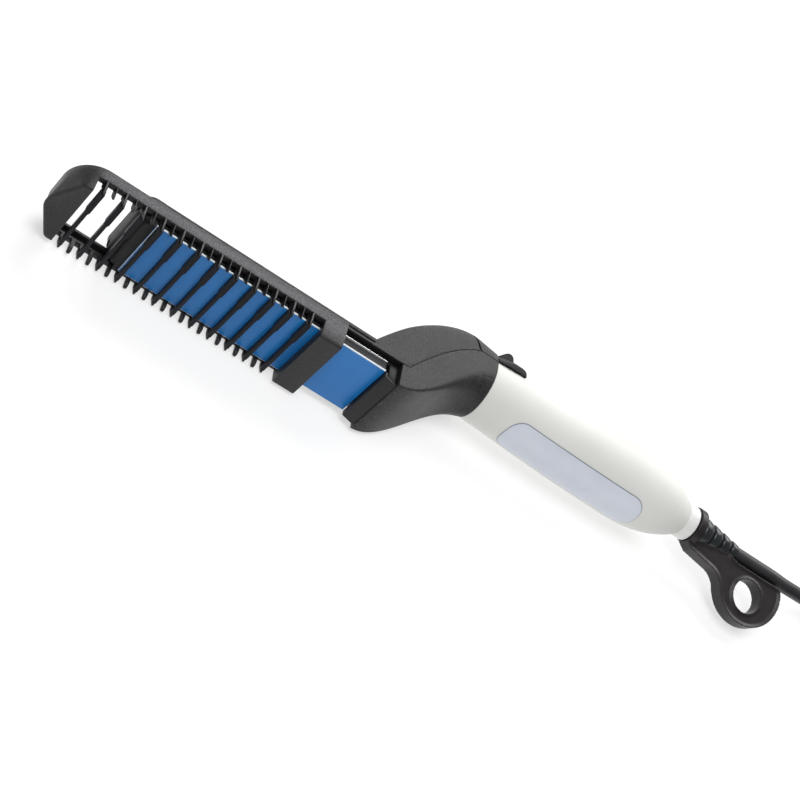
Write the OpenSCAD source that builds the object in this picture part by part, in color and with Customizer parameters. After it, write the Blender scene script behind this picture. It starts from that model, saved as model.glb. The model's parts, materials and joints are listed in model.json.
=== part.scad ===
// Hot comb: a flat heating plate on a long arm, a comb attachment that slides over it,
// a cranked neck, a round handle with a thumb switch, and a swivel cord.
//
// Head axes, used by every module: X runs from the comb tip to the butt of the handle, with
// zero at the first tooth. Y runs across the plate. Z is zero on the face of the plate and
// points the way the teeth do. place() then lays the tool on its side, resting on the comb
// wall, with the teeth towards -Y of the part.

/* [Comb attachment] */
// Distance from one tooth to the next
tooth_pitch = 4; // [3.6:0.1:4.4]
// Height of the tooth tips above the plate
tooth_h = 3.7; // [3.2:0.1:4.2]
// Thickness of a blunt tooth
tooth_t = 1.4; // [1.1:0.1:1.6]
// Thickness of a pointed tooth at its root
point_t = 2.4; // [2:0.1:2.6]
// Thickness of the thin half of a cross rib
rib_thin = 1.4; // [1.2:0.1:1.8]
// Thickness of the thick half of a cross rib
rib_thick = 2.2; // [2:0.1:2.6]
// Height of a cross rib
rib_h = 2.8; // [2.4:0.1:3.2]
// Thickness of the side walls
comb_wall_t = 1.2; // [1:0.1:1.6]
// Height of the side walls
comb_wall_h = 5.7; // [5.2:0.1:6.4]
// Travel of the attachment, from drawn out to pushed home
comb_travel = 17.5; // [14:0.5:20]
// Length of the solid tip in front of the first window
tip_len = 11; // [9:0.5:13]
// Length of the bridge block at the neck end
bridge_len = 9.5; // [8:0.1:11]
// Height of the bridge block above the plate
bridge_h = 5; // [4.4:0.1:5.6]

/* [Heating body] */
// Length of the heating plate
plate_len = 100.7; // [92:0.1:110]
// Half width of the heating plate
plate_half_w = 14.2; // [13.8:0.1:14.4]
// Thickness of the heating plate
plate_t = 1.2; // [1:0.1:1.5]
// Height of the aluminium carrier under the plate
carrier_h = 4.1; // [3.8:0.1:4.5]
// Width of the slot that guides the comb attachment
guide_slot_h = 1.7; // [1.5:0.1:2]
// Half width of the arm
arm_half_w = 15.9; // [15.2:0.1:16.6]
// Thickness of the arm behind the guide slot
arm_t = 4.5; // [4:0.1:5.5]
// Length of the nose cap
nose_len = 8.2; // [7:0.1:9]
// Length of the heater
heater_len = 72; // [50:1:80]

/* [Neck] */
// Length of the neck, from its mouth to the handle
neck_len = 43; // [40:0.1:50]
// Height of the heel above the plate
heel_h = 4.5; // [4:0.1:5]
// Distance from the plate face back to the handle axis
crank_drop = 37.5; // [34:0.5:40]
// Half width of the neck where it meets the handle
collar_r = 13.65; // [13.2:0.05:14]
// Depth of the back of the neck behind the handle axis
collar_back = 15.6; // [15:0.1:16.4]
// Length of the bezel between plate and heel
bezel_len = 5.7; // [5:0.1:7]
// Seam between the two neck shells
seam = 0.3; // [0.2:0.05:0.5]

/* [Handle] */
// Length of the handle sleeve
handle_len = 107.6; // [98:0.1:116]
// Largest radius of the handle
handle_r = 16.1; // [15.4:0.1:16.6]
// Wall of the handle sleeve
handle_wall = 2.2; // [1.8:0.1:2.6]
// Radius of the collar at the butt
butt_r = 7.7; // [7.5:0.1:8.2]
// Length of the collar at the butt
butt_len = 5.4; // [4.5:0.1:7]
// Length of the bare label
label_len = 69; // [50:1:70]
// Half angle that the label wraps
label_angle = 32; // [24:1:36]
// Thickness of the label
label_t = 0.25; // [0.2:0.05:0.3]

/* [Switch] */
// Length of the thumb knob
knob_len = 8.9; // [7:0.1:9.2]
// Half width of the thumb knob
knob_half_w = 7.5; // [6:0.1:8]
// Height of the thumb knob above the saddle
knob_h = 3.8; // [3:0.1:5]
// Travel of the thumb knob
knob_travel = 3; // [2:0.1:3.2]
// Length of the saddle that the knob slides on
saddle_len = 14.2; // [13.8:0.1:17]
// Radius over the saddle
saddle_r = 16.2; // [15.9:0.1:16.8]

/* [Cord end] */
// Length of the strain relief
boot_len = 25; // [22:0.5:30]
// Radius of the power cord
cord_r = 3.1; // [3:0.05:3.2]
// Outer radius of the hanging loop
loop_r = 16; // [14:0.1:17]
// Radius of the hole in the hanging loop
loop_hole_r = 7.2; // [5:0.1:7.6]
// Thickness of the hanging loop
loop_t = 7; // [6:0.1:8]

/* [Plug] */
// Length of the plug body
plug_len = 36; // [32:1:40]
// Width of the plug body
plug_w = 35; // [32:0.5:36]
// Thickness of the plug body
plug_t = 13.7; // [12:0.1:15]
// Distance between the two pins
pin_gap = 18.6; // [18:0.1:19]
// Radius of a pin
pin_r = 2; // [1.9:0.05:2.1]
// Length of a pin
pin_len = 19; // [17:0.5:20]

/* [Hidden] */
$fn = 48;

// Clearances
run = 0.3;       // between pieces that slide on each other
fit = 0.05;      // radial clearance of a turning shaft
touch = 0.02;    // between curved faces that are pressed together

// The attachment runs outside the arm
comb_half_w = arm_half_w + run + comb_wall_t;

// Levels of the heating body, from the plate face backwards
carrier_z = -plate_t - carrier_h;
arm_top_z = carrier_z - guide_slot_h;
arm_back_z = arm_top_z - arm_t;
web_half_w = plate_half_w - 1.6;

// Places along the head
tip_inner_x = -3.4;
tip_x = tip_inner_x - tip_len;
nose_x = tip_inner_x + comb_travel + run;
plate_x0 = nose_x + nose_len;
plate_x1 = plate_x0 + plate_len;
mouth_x = plate_x1 + bezel_len;
collar_x = mouth_x + neck_len;
butt_x = collar_x + handle_len;
boot_x = butt_x + butt_len;
axis_z = -crank_drop;

// The comb attachment is drawn out by its travel, so its end lies this far from home
home_gap = 3.1;
comb_x1 = plate_x1 - comb_travel - home_gap;
bridge_x0 = comb_x1 - bridge_len;
tooth_steps = floor((bridge_x0 - 5) / tooth_pitch);
comb_inner_y = comb_half_w - comb_wall_t;
comb_front_z = -2.5;
comb_back_z = comb_front_z - comb_wall_h;
lip_inner_y = plate_half_w - 0.6;
lip_z0 = arm_top_z + run;
lip_z1 = carrier_z - run;
rib_z0 = 0.4;
rib_half_y = plate_half_w + 0.4;
rib_step_y = 4.6;

// Lowest and highest places, for the origin at the middle of the underside
loop_tilt = 25;
loop_x = boot_x + boot_len + 12;
loop_out = loop_r - 4.5;
knob_top = saddle_r + knob_h;
part_x0 = tip_x;
part_x1 = loop_x + loop_r;
part_front_z = max(bridge_h, heel_h, tooth_h);
part_back_z = axis_z - knob_top;
mid_x = (part_x0 + part_x1) / 2;
mid_z = (part_front_z + part_back_z) / 2;

// Lays the head axes into the part's frame: teeth to -Y, comb wall on the floor
module place() {
    translate([-mid_x, mid_z, comb_half_w])
        rotate([90, 0, 0])
            children();
}

// Extrudes an outline drawn in (Y, Z) along X
module along_x(x0, length) {
    translate([x0, 0, 0])
        rotate([90, 0, 90])
            linear_extrude(length)
                children();
}

// Extrudes an outline drawn in (X, Y) along Z
module along_z(z0, height) {
    translate([0, 0, z0])
        linear_extrude(height)
            children();
}

// Extrudes an outline drawn in (X, Z) across Y, centred
module across_y(half_w) {
    translate([0, half_w, 0])
        rotate([90, 0, 0])
            linear_extrude(2 * half_w)
                children();
}

// Turns an outline drawn in (radius, distance along X) about the handle axis
module about_axis(x0) {
    translate([x0, 0, axis_z])
        rotate([0, 90, 0])
            rotate_extrude($fn = 72)
                children();
}

// A shaft or hole on the handle axis
module axis_rod(x0, length, r) {
    translate([x0, 0, axis_z])
        rotate([0, 90, 0])
            cylinder(h = length, r = r);
}

// A block given by its lowest and highest corners
module block(low, high) {
    translate(low)
        cube(high - low);
}

function smooth(u) = u <= 0 ? 0 : u >= 1 ? 1 : u * u * (3 - 2 * u);
function ease_out(u, p) = u <= 0 ? 0 : u >= 1 ? 1 : 1 - pow(1 - u, p);
function mix(a, b, u) = a + (b - a) * u;

// ---- Comb attachment ----

tip_corner_r = 13;

// Plan outline of the attachment at its back, grown or shrunk by d
module comb_outline(d = 0) {
    hull() {
        for (side = [-1, 1])
            translate([tip_x + 1.7 + tip_corner_r, side * (comb_half_w - tip_corner_r)])
                circle(r = tip_corner_r + d, $fn = 64);
        translate([comb_x1 - 1, -comb_half_w - d])
            square([1, 2 * (comb_half_w + d)]);
    }
}

// The solid tip rises from the walls to a narrower lip at tooth height
module comb_tip() {
    intersection() {
        hull() {
            along_z(comb_back_z, comb_wall_h)
                comb_outline();
            along_z(tooth_h - 0.8, 0.4)
                tip_lip_outline(0.2);
            along_z(tooth_h - 0.4, 0.3)
                tip_lip_outline(-0.3);
        }
        block([tip_x - 1, -comb_half_w - 1, comb_back_z - 1],
              [tip_inner_x, comb_half_w + 1, tooth_h + 1]);
    }
}

module tip_lip_outline(d) {
    lip_half_w = comb_half_w - 1.8;
    translate([tip_x + 7.2, 0])
        circle(r = 7 + d);
    for (side = [-1, 1])
        translate([tip_x + 9, side * (lip_half_w - 2)])
            circle(r = 2 + d);
}

// Cross-section of one side wall, with the lip that rides in the guide slot
module wall_section() {
    polygon([
        [comb_half_w, comb_back_z + 0.6],
        [comb_half_w, comb_front_z],
        [comb_inner_y, comb_front_z],
        [comb_inner_y, lip_z1],
        [lip_inner_y, lip_z1],
        [lip_inner_y, lip_z0],
        [comb_inner_y, lip_z0],
        [comb_inner_y, comb_back_z],
        [comb_half_w - 0.5, comb_back_z]
    ]);
}

module bridge_section() {
    cheek_y = rib_half_y;
    polygon([
        [comb_half_w, comb_front_z - 0.5],
        [comb_half_w, comb_front_z + 1.5],
        [comb_half_w - 1, bridge_h - 0.8],
        [comb_half_w - 1.8, bridge_h],
        [-comb_half_w + 1.8, bridge_h],
        [-comb_half_w + 1, bridge_h - 0.8],
        [-comb_half_w, comb_front_z + 1.5],
        [-comb_half_w, comb_front_z - 0.5],
        [-cheek_y, comb_front_z - 0.5],
        [-cheek_y, rib_z0],
        [cheek_y, rib_z0],
        [cheek_y, comb_front_z - 0.5]
    ]);
}

module comb_frame() {
    color([0.12, 0.12, 0.13])
        place() {
            comb_tip();
            intersection() {
                for (side = [0, 1])
                    mirror([0, side, 0])
                        along_x(tip_inner_x - 0.6, comb_x1 - tip_inner_x + 0.6)
                            wall_section();
                along_z(comb_back_z, comb_wall_h)
                    comb_outline();
            }
            along_x(bridge_x0, bridge_len)
                bridge_section();
        }
}

// A rib is thicker over the half of the plate that faces up when the tool is used
module rib_outline() {
    polygon([
        [-rib_thin / 2, -rib_half_y],
        [rib_thin / 2, -rib_half_y],
        [rib_thin / 2, rib_step_y - 0.6],
        [rib_thick / 2, rib_step_y],
        [rib_thick / 2, rib_half_y],
        [-rib_thick / 2, rib_half_y],
        [-rib_thick / 2, rib_step_y],
        [-rib_thin / 2, rib_step_y - 0.6]
    ]);
}

module comb_rib() {
    along_z(rib_z0, rib_h - 0.3)
        rib_outline();
    along_z(rib_z0 + rib_h - 0.3, 0.3)
        offset(delta = -0.25)
            rib_outline();
}

module comb_ribs() {
    color([0.12, 0.12, 0.13])
        place()
            for (i = [0 : 2 : tooth_steps])
                translate([i * tooth_pitch, 0, 0])
                    comb_rib();
}

// Side view of a tooth, seen along X: it stands on the wall and leans over the plate edge
module tooth_side() {
    polygon([
        [comb_half_w - 0.1, comb_front_z],
        [comb_half_w - 0.4, comb_front_z + 2.4],
        [comb_half_w - 1.5, tooth_h],
        [comb_half_w - 2.3, tooth_h],
        [rib_half_y, rib_z0 + rib_h - 0.6],
        [rib_half_y, comb_front_z]
    ]);
}

// Front view of a tooth, seen along Y
module pointed_front() {
    polygon([
        [-point_t / 2, comb_front_z],
        [point_t / 2, comb_front_z],
        [point_t / 2, comb_front_z + 1.6],
        [0.15, tooth_h],
        [-0.45, tooth_h],
        [-point_t / 2 + 0.2, comb_front_z + 1.6]
    ]);
}

module blunt_front() {
    translate([-tooth_t / 2, comb_front_z])
        square([tooth_t, tooth_h - comb_front_z - tooth_t / 2]);
    translate([0, tooth_h - tooth_t / 2])
        circle(r = tooth_t / 2, $fn = 16);
}

module comb_tooth(pointed) {
    intersection() {
        along_x(-2, 4)
            tooth_side();
        across_y(comb_half_w + 1)
            if (pointed)
                pointed_front();
            else
                blunt_front();
    }
}

module comb_teeth() {
    color([0.12, 0.12, 0.13])
        place()
            for (i = [0 : tooth_steps], side = [0, 1])
                translate([i * tooth_pitch, 0, 0])
                    mirror([0, side, 0])
                        comb_tooth(i % 2 == 0);
}

// ---- Heating body ----

module heating_plate() {
    edge = 0.3;
    color([0.19, 0.44, 0.69])
        place()
            along_x(plate_x0, plate_len)
                polygon([
                    [-plate_half_w, -plate_t],
                    [plate_half_w, -plate_t],
                    [plate_half_w, -edge],
                    [plate_half_w - edge, 0],
                    [-plate_half_w + edge, 0],
                    [-plate_half_w, -edge]
                ]);
}

// The hollow of the carrier that holds the heater
pocket_half_w = 11;
pocket_z = carrier_z + 1;

module plate_carrier() {
    body_half_w = plate_half_w - 0.7;
    foot_h = 0.9;
    color([0.75, 0.77, 0.76])
        place()
            along_x(plate_x0, plate_len)
                polygon([
                    [-plate_half_w, carrier_z],
                    [plate_half_w, carrier_z],
                    [plate_half_w, carrier_z + foot_h],
                    [body_half_w, carrier_z + foot_h],
                    [body_half_w, -plate_t],
                    [pocket_half_w, -plate_t],
                    [pocket_half_w, pocket_z],
                    [-pocket_half_w, pocket_z],
                    [-pocket_half_w, -plate_t],
                    [-body_half_w, -plate_t],
                    [-body_half_w, carrier_z + foot_h],
                    [-plate_half_w, carrier_z + foot_h]
                ]);
}

insulation_t = 0.4;
fuse_len = 9;
fuse_gap = 2;
heater_x1 = plate_x1 - fuse_len - fuse_gap - 5.7;
heater_x0 = heater_x1 - heater_len;

module ptc_heater() {
    color([0.82, 0.80, 0.74])
        place()
            block([heater_x0, -pocket_half_w + 1.5, pocket_z + insulation_t],
                  [heater_x1, pocket_half_w - 1.5, -plate_t]);
}

module heater_insulation() {
    color([0.78, 0.60, 0.25])
        place()
            block([plate_x0 + 2, -pocket_half_w, pocket_z],
                  [plate_x1 - 2, pocket_half_w, pocket_z + insulation_t]);
}

module thermal_fuse() {
    r = 1.1;
    color([0.80, 0.80, 0.82])
        place()
            translate([heater_x1 + fuse_gap, 0, pocket_z + insulation_t + r])
                rotate([0, 90, 0])
                    cylinder(h = fuse_len, r = r);
}

// Plan outline of the nose: a flat front with round corners
module nose_outline(half_w, setback) {
    corner = 5;
    hull() {
        for (side = [-1, 1])
            translate([nose_x + setback + corner, side * (half_w - corner)])
                circle(r = corner);
        translate([plate_x0 - 0.5, -half_w])
            square([0.5, 2 * half_w]);
    }
}

// The nose slopes back from the arm to the tip edge of the plate
module nose_cap() {
    top_z = -0.3;
    color([0.10, 0.10, 0.11])
        place()
            intersection() {
                union() {
                    hull() {
                        along_z(arm_back_z + 1, 0.5)
                            nose_outline(arm_half_w, 0);
                        along_z(arm_back_z, 0.5)
                            nose_outline(arm_half_w - 1, 1);
                        along_z(arm_top_z - 0.5, 0.5)
                            nose_outline(arm_half_w, 0.6);
                    }
                    along_z(arm_top_z - 0.1, guide_slot_h + 0.2)
                        nose_outline(web_half_w, 2);
                    hull() {
                        along_z(carrier_z, 0.5)
                            nose_outline(plate_half_w, 1);
                        along_z(top_z - 0.5, 0.5)
                            nose_outline(plate_half_w - 1, nose_len - 5.6);
                    }
                }
                block([nose_x - 1, -20, arm_back_z - 1], [plate_x0, 20, 1]);
            }
}

screw_r = 1.4;
screw_head_r = 2.6;
screw_head_h = 1.6;
screw_xs = [plate_x0 + 14, plate_x1 - 16];

// The two screws that hold the carrier down on the arm, put in from behind
module arm_screws() {
    color([0.55, 0.55, 0.57])
        place()
            for (x = screw_xs)
                translate([x, 0, arm_back_z + 0.6])
                    difference() {
                        union() {
                            cylinder(h = screw_head_h, r = screw_head_r);
                            cylinder(h = arm_t + guide_slot_h - 0.6, r = screw_r);
                        }
                        for (turn = [0, 90])
                            rotate([0, 0, turn])
                                block([-1.6, -0.3, -0.1], [1.6, 0.3, 0.7]);
                    }
}

module screw_holes() {
    for (x = screw_xs)
        translate([x, 0, arm_back_z - 1]) {
            cylinder(h = screw_head_h + 1.6, r = screw_head_r + touch);
            cylinder(h = arm_t + guide_slot_h + 2, r = screw_r + touch);
        }
}

// ---- Root of the plate ----

bezel_t = 0.9;
bezel_x0 = plate_x1 + 0.3;
bezel_low_z = 2.5;

module plate_bezel() {
    color([0.17, 0.17, 0.18])
        place()
            across_y(plate_half_w - 0.2)
                polygon([
                    [bezel_x0, 0.1],
                    [bezel_x0 + 0.9, 0.1],
                    [bezel_x0 + 0.9, bezel_low_z - bezel_t],
                    [mouth_x - 0.1, heel_h - 0.4 - bezel_t],
                    [mouth_x - 0.1, heel_h - 0.4],
                    [bezel_x0 + 0.4, bezel_low_z],
                    [bezel_x0, bezel_low_z - 0.4]
                ]);
}

module root_insulator() {
    color([0.86, 0.86, 0.84])
        place()
            across_y(plate_half_w - 0.3)
                polygon([
                    [bezel_x0 + 1, carrier_z],
                    [mouth_x - 0.1, carrier_z],
                    [mouth_x - 0.1, heel_h - 0.4 - bezel_t],
                    [bezel_x0 + 1, bezel_low_z - bezel_t]
                ]);
}

// ---- Neck ----

flare_x = mouth_x - 12.8;
front_end_x = collar_x - 2.5;
back_end_x = collar_x - 9.7;

function neck_front_z(x) =
    mix(heel_h, axis_z + collar_r, smooth((x - mouth_x) / (front_end_x - mouth_x)));
function neck_back_z(x) =
    mix(arm_back_z, axis_z - collar_back, ease_out((x - flare_x) / (back_end_x - flare_x), 1.6));
function neck_half_w(x) = mix(arm_half_w, collar_r, smooth((x - mouth_x) / (collar_x - mouth_x)));
function neck_u(x) = max(0, (x - mouth_x) / (collar_x - mouth_x));
function neck_mid_z(x) =
    mix((neck_front_z(x) + neck_back_z(x)) / 2, axis_z, pow(neck_u(x), 2));
function front_round(x) = mix(0.08, 0.999, pow(neck_u(x), 1.6));
function back_round(x) = mix(0.16, 0.85, neck_u(x));

corner_steps = 6;

// One corner of a section: an elliptical arc from angle a over 90 degrees
function section_corner(a, cy, cz, ry, rz) = [
    for (k = [0 : corner_steps])
        let (t = a + 90 * k / corner_steps)
            [cy + ry * cos(t), cz + rz * sin(t)]
];

// Cross-section of the neck at x, from the back face up to top_z
function neck_section(x, top_z, q_front) =
    let (
        w = neck_half_w(x),
        low_z = neck_back_z(x),
        mid = min(neck_mid_z(x), (top_z + low_z) / 2 + 20),
        qb = back_round(x),
        fy = q_front * w,
        fz = q_front * (top_z - mid),
        by = qb * w,
        bz = qb * (mid - low_z)
    )
    concat(
        section_corner(0, w - fy, top_z - fz, fy, fz),
        section_corner(90, -w + fy, top_z - fz, fy, fz),
        section_corner(180, -w + by, low_z + bz, by, bz),
        section_corner(270, w - by, low_z + bz, by, bz)
    );

// Skins a list of rings, each a list of the same number of points
module skin(rings) {
    n = len(rings[0]);
    last = len(rings) - 1;
    sides = [
        for (i = [0 : last - 1], k = [0 : n - 1])
            let (a = i * n + k, b = i * n + (k + 1) % n)
                each [[a, a + n, b], [b, a + n, b + n]]
    ];
    polyhedron(
        points = [for (ring = rings) each ring],
        faces = concat(
            sides,
            [[for (k = [0 : n - 1]) k]],
            [[for (k = [n - 1 : -1 : 0]) last * n + k]]
        ),
        convexity = 6
    );
}

function at_x(x, section) = [for (p = section) [x, p[0], p[1]]];

neck_rings = 18;

module neck_solid() {
    skin([
        for (i = [0 : neck_rings])
            let (x = mix(mouth_x, collar_x, i / neck_rings))
                at_x(x, neck_section(x, neck_front_z(x), front_round(x)))
    ]);
}

// The back shell reaches forward of the mouth, behind the guide slot
module flare_solid() {
    rings = 5;
    skin([
        for (i = [0 : rings])
            let (x = mix(flare_x - 1, mouth_x, i / rings))
                at_x(x, flare_section(x))
    ]);
}

function flare_section(x) =
    let (
        w = arm_half_w,
        low_z = neck_back_z(x),
        r = mix(1.5, 2.5, (x - flare_x) / (mouth_x - flare_x))
    )
    concat(
        section_corner(0, w - 0.3, arm_top_z - 0.3, 0.3, 0.3),
        section_corner(90, -w + 0.3, arm_top_z - 0.3, 0.3, 0.3),
        section_corner(180, -w + r, low_z + r, r, r),
        section_corner(270, w - r, low_z + r, r, r)
    );

// Side view of the seam between the shells, as seen across Y
function seam_z(x) = mix(arm_top_z, axis_z - 4, ease_out((x - mouth_x - 3) / 33, 1.45));

module front_region(shift) {
    steps = 14;
    polygon(concat(
        [for (i = [0 : steps])
            let (x = mix(mouth_x, collar_x, i / steps))
                [x, seam_z(x) + shift]],
        [[collar_x + 20, axis_z - 4 + shift], [collar_x + 20, 40], [mouth_x - 0.01, 40],
         [mouth_x - 0.01, arm_top_z + shift]]
    ));
}

// The tunnel that carries the heater leads through the neck
tunnel_half_w = 4;

function tunnel_z(x) = mix(carrier_z - 0.4, axis_z, smooth((x - mouth_x - 3) / (neck_len - 10)));

module tunnel_side(half_t) {
    steps = 10;
    x0 = mouth_x;
    x1 = collar_x + 12;
    polygon(concat(
        [for (i = [0 : steps]) let (x = mix(x0, x1, i / steps)) [x, tunnel_z(x) + half_t]],
        [for (i = [steps : -1 : 0]) let (x = mix(x0, x1, i / steps)) [x, tunnel_z(x) - half_t]]
    ));
}

spigot_len = 8;

module neck_front() {
    color([0.15, 0.15, 0.16])
        place()
            difference() {
                union() {
                    intersection() {
                        neck_solid();
                        across_y(arm_half_w + 2)
                            front_region(seam / 2);
                    }
                    difference() {
                        axis_rod(collar_x - 1, spigot_len + 1, handle_front_r - handle_wall - touch);
                        block([collar_x - 2, -20, axis_z - 20], [collar_x + 20, 20, axis_z]);
                    }
                }
                across_y(tunnel_half_w)
                    tunnel_side(3);
            }
}

// The transverse joint where the back shell ends and the switch saddle begins
shell_end_x = collar_x - 10.5;

module behind_joint(gap) {
    across_y(40)
        polygon([
            [shell_end_x + gap - 11, axis_z - 30],
            [shell_end_x + gap + 1.6, axis_z - 2],
            [shell_end_x + gap + 1.6, 60],
            [shell_end_x + 60, 60],
            [shell_end_x + 60, axis_z - 30]
        ]);
}

module arm_section() {
    r = 1.5;
    polygon([
        [arm_half_w, arm_top_z],
        [-arm_half_w, arm_top_z],
        [-arm_half_w, arm_back_z + r],
        [-arm_half_w + 0.45, arm_back_z + 0.45],
        [-arm_half_w + r, arm_back_z],
        [arm_half_w - r, arm_back_z],
        [arm_half_w - 0.45, arm_back_z + 0.45],
        [arm_half_w, arm_back_z + r]
    ]);
    translate([-web_half_w, arm_top_z - 0.1])
        square([2 * web_half_w, guide_slot_h + 0.1]);
}

module neck_back() {
    color([0.15, 0.15, 0.16])
        place()
            difference() {
                union() {
                    along_x(plate_x0, mouth_x - plate_x0)
                        arm_section();
                    flare_solid();
                    difference() {
                        neck_solid();
                        across_y(arm_half_w + 3)
                            front_region(-seam / 2);
                        behind_joint(0);
                    }
                }
                screw_holes();
                across_y(tunnel_half_w)
                    tunnel_side(3);
            }
}

module heater_leads() {
    color([0.75, 0.20, 0.15])
        place()
            across_y(tunnel_half_w - 1)
                tunnel_side(1);
}

// ---- Handle ----

handle_front_r = collar_r;
swell_len = handle_len * 0.7016;
profile_steps = 12;

// Radius of the handle at distance s from its front end
function handle_radius(s) =
    s <= swell_len
        ? mix(handle_front_r, handle_r, sin(90 * s / swell_len))
        : mix(butt_r, handle_r, 1 - pow((s - swell_len) / (handle_len - swell_len), 2.5));

// Points of the outer profile between two distances, as [radius, distance]
function handle_profile(s0, s1, grow) = [
    for (i = [0 : profile_steps])
        let (s = mix(s0, s1, i / profile_steps))
            [handle_radius(s) + grow, s]
];

function reversed(list) = [for (i = [len(list) - 1 : -1 : 0]) list[i]];

hub_r = butt_r - 1.5;
hub_flange_r = hub_r + 1.3;
shell_end = handle_len - 3.4;

// The outer profile as a list of points, grown by d
function handle_outline(d) =
    concat(handle_profile(0, swell_len, d), handle_profile(swell_len, handle_len, d));

module handle_sleeve() {
    color([0.95, 0.95, 0.93])
        place()
            difference() {
                about_axis(collar_x)
                    polygon(concat(
                        handle_outline(0),
                        [[hub_r + 0.5, handle_len], [hub_r + 0.5, shell_end],
                         [hub_flange_r + 0.6, shell_end]],
                        reversed(handle_profile(swell_len, handle_len - 5, -handle_wall)),
                        reversed(handle_profile(0, swell_len, -handle_wall))
                    ));
                knob_slot(0);
            }
}

label_mid = collar_x + 0.462 * handle_len;

module handle_label() {
    color([0.79, 0.81, 0.87])
        place()
            intersection() {
                about_axis(collar_x)
                    polygon(concat(handle_outline(label_t), reversed(handle_outline(0))));
                along_z(axis_z, 40)
                    label_outline();
            }
}

module label_outline() {
    half_w = handle_r * sin(label_angle);
    corner = half_w * 0.8;
    hull()
        for (sx = [-1, 1], sy = [-1, 1])
            translate([label_mid + sx * (label_len / 2 - corner), sy * (half_w - corner)])
                circle(r = corner);
}

module butt_collar() {
    color([0.93, 0.93, 0.91])
        place()
            about_axis(butt_x)
                polygon([
                    [hub_r + fit, 0],
                    [butt_r, 0],
                    [butt_r, butt_len - 0.5],
                    [butt_r - 0.5, butt_len],
                    [hub_r + fit, butt_len]
                ]);
}

// ---- Inside the handle ----

tray_x0 = collar_x + 14;
tray_len = swell_len - 11;
tray_x1 = tray_x0 + tray_len;
tray_half_w = 9;
tray_z = axis_z + 4.2;
tray_t = 1.8;
board_t = 1.6;

module board_tray() {
    color([0.35, 0.35, 0.37])
        place()
            intersection() {
                union() {
                    block([tray_x0, -tray_half_w, tray_z], [tray_x1, tray_half_w, tray_z + tray_t]);
                    for (side = [0, 1])
                        mirror([0, side, 0])
                            block([tray_x0, tray_half_w - 1.5, tray_z - board_t - 1], [tray_x1, tray_half_w, tray_z]);
                    for (x = [tray_x0 + 2, tray_x1 - 4])
                        block([x, -1, tray_z + tray_t], [x + 2, 1, axis_z + 20]);
                }
                about_axis(collar_x)
                    polygon(concat(
                        [[0, 0]],
                        handle_profile(0, swell_len, -handle_wall - touch),
                        [[handle_r - handle_wall - touch, swell_len + 5], [0, swell_len + 5]]
                    ));
            }
}

module circuit_board() {
    color([0.10, 0.36, 0.20])
        place()
            block([tray_x0 + 1, -tray_half_w + 1.6, tray_z - board_t], [tray_x1 - 1, tray_half_w - 1.6, tray_z]);
}

// A component on the board, from one share of the tray's length to another
module board_component(from, to, side_y, other_y, tall) {
    face_z = tray_z - board_t;
    block([tray_x0 + from * tray_len, side_y, face_z - tall],
          [tray_x0 + to * tray_len, other_y, face_z]);
}

capacitor_r = 3;
component_h = 4;

module board_parts() {
    half_w = tray_half_w - 3;
    color([0.20, 0.20, 0.22])
        place() {
            board_component(0.28, 0.47, -half_w, half_w / 3, component_h + 3);
            board_component(0.56, 0.72, -half_w / 3, half_w - 1, component_h);
            board_component(0.875, 0.95, -half_w + 1, half_w - 1, component_h + 1);
            translate([tray_x0 + 0.8 * tray_len, 0, tray_z - board_t - 2 * component_h])
                cylinder(h = 2 * component_h, r = capacitor_r);
        }
}

// ---- Switch ----

saddle_x1 = collar_x + saddle_len;
saddle_half_w = collar_r + 0.9;
saddle_edge_z = axis_z - 4 - seam / 2;
slot_half_w = 2.5;
stem_len = 4;
stem_x = collar_x + 4;
knob_x0 = collar_x + 2;
stem_end_z = axis_z - 10;

// Slot through the sleeve and the saddle for the stem of the knob
module knob_slot(extra) {
    block([stem_x - run, -slot_half_w - extra, axis_z - 25],
          [stem_x + stem_len + knob_travel + run, slot_half_w + extra, axis_z - 5]);
}

// The end of the back shell, behind the joint, as far as the handle
module neck_tab() {
    color([0.15, 0.15, 0.16])
        place()
            difference() {
                intersection() {
                    neck_solid();
                    behind_joint(0.6);
                    across_y(40)
                        polygon([
                            [shell_end_x - 10, saddle_edge_z],
                            [collar_x, saddle_edge_z],
                            [collar_x, axis_z - 30],
                            [shell_end_x - 10, axis_z - 30]
                        ]);
                }
                across_y(tunnel_half_w)
                    tunnel_side(3);
            }
}

// The saddle lies round the back of the handle behind the tab
module switch_saddle() {
    back_z = axis_z - saddle_r;
    color([0.12, 0.12, 0.13])
        place()
            difference() {
                intersection() {
                    axis_rod(collar_x, saddle_len, saddle_r);
                    across_y(saddle_half_w)
                        polygon([
                            [collar_x, saddle_edge_z],
                            [saddle_x1, saddle_edge_z],
                            [saddle_x1, back_z + 2.4],
                            [saddle_x1 - 0.8, back_z + 0.8],
                            [saddle_x1 - 2.4, back_z],
                            [collar_x, back_z]
                        ]);
                }
                about_axis(collar_x)
                    polygon(concat(
                        [[0, 0]],
                        handle_profile(0, swell_len, touch),
                        [[0, swell_len]]
                    ));
                knob_slot(0.4);
            }
}

// The knob is a hump on a stem that passes through the saddle
module switch_knob() {
    color([0.10, 0.10, 0.11])
        place() {
            difference() {
                intersection() {
                    across_y(knob_half_w)
                        hump_side();
                    along_x(knob_x0 - 1, knob_len + 2)
                        hump_front();
                }
                axis_rod(collar_x, knob_len + 2, saddle_r + run);
            }
            block([stem_x, -slot_half_w + run, axis_z - saddle_r - 1],
                  [stem_x + stem_len, slot_half_w - run, stem_end_z]);
        }
}

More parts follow.
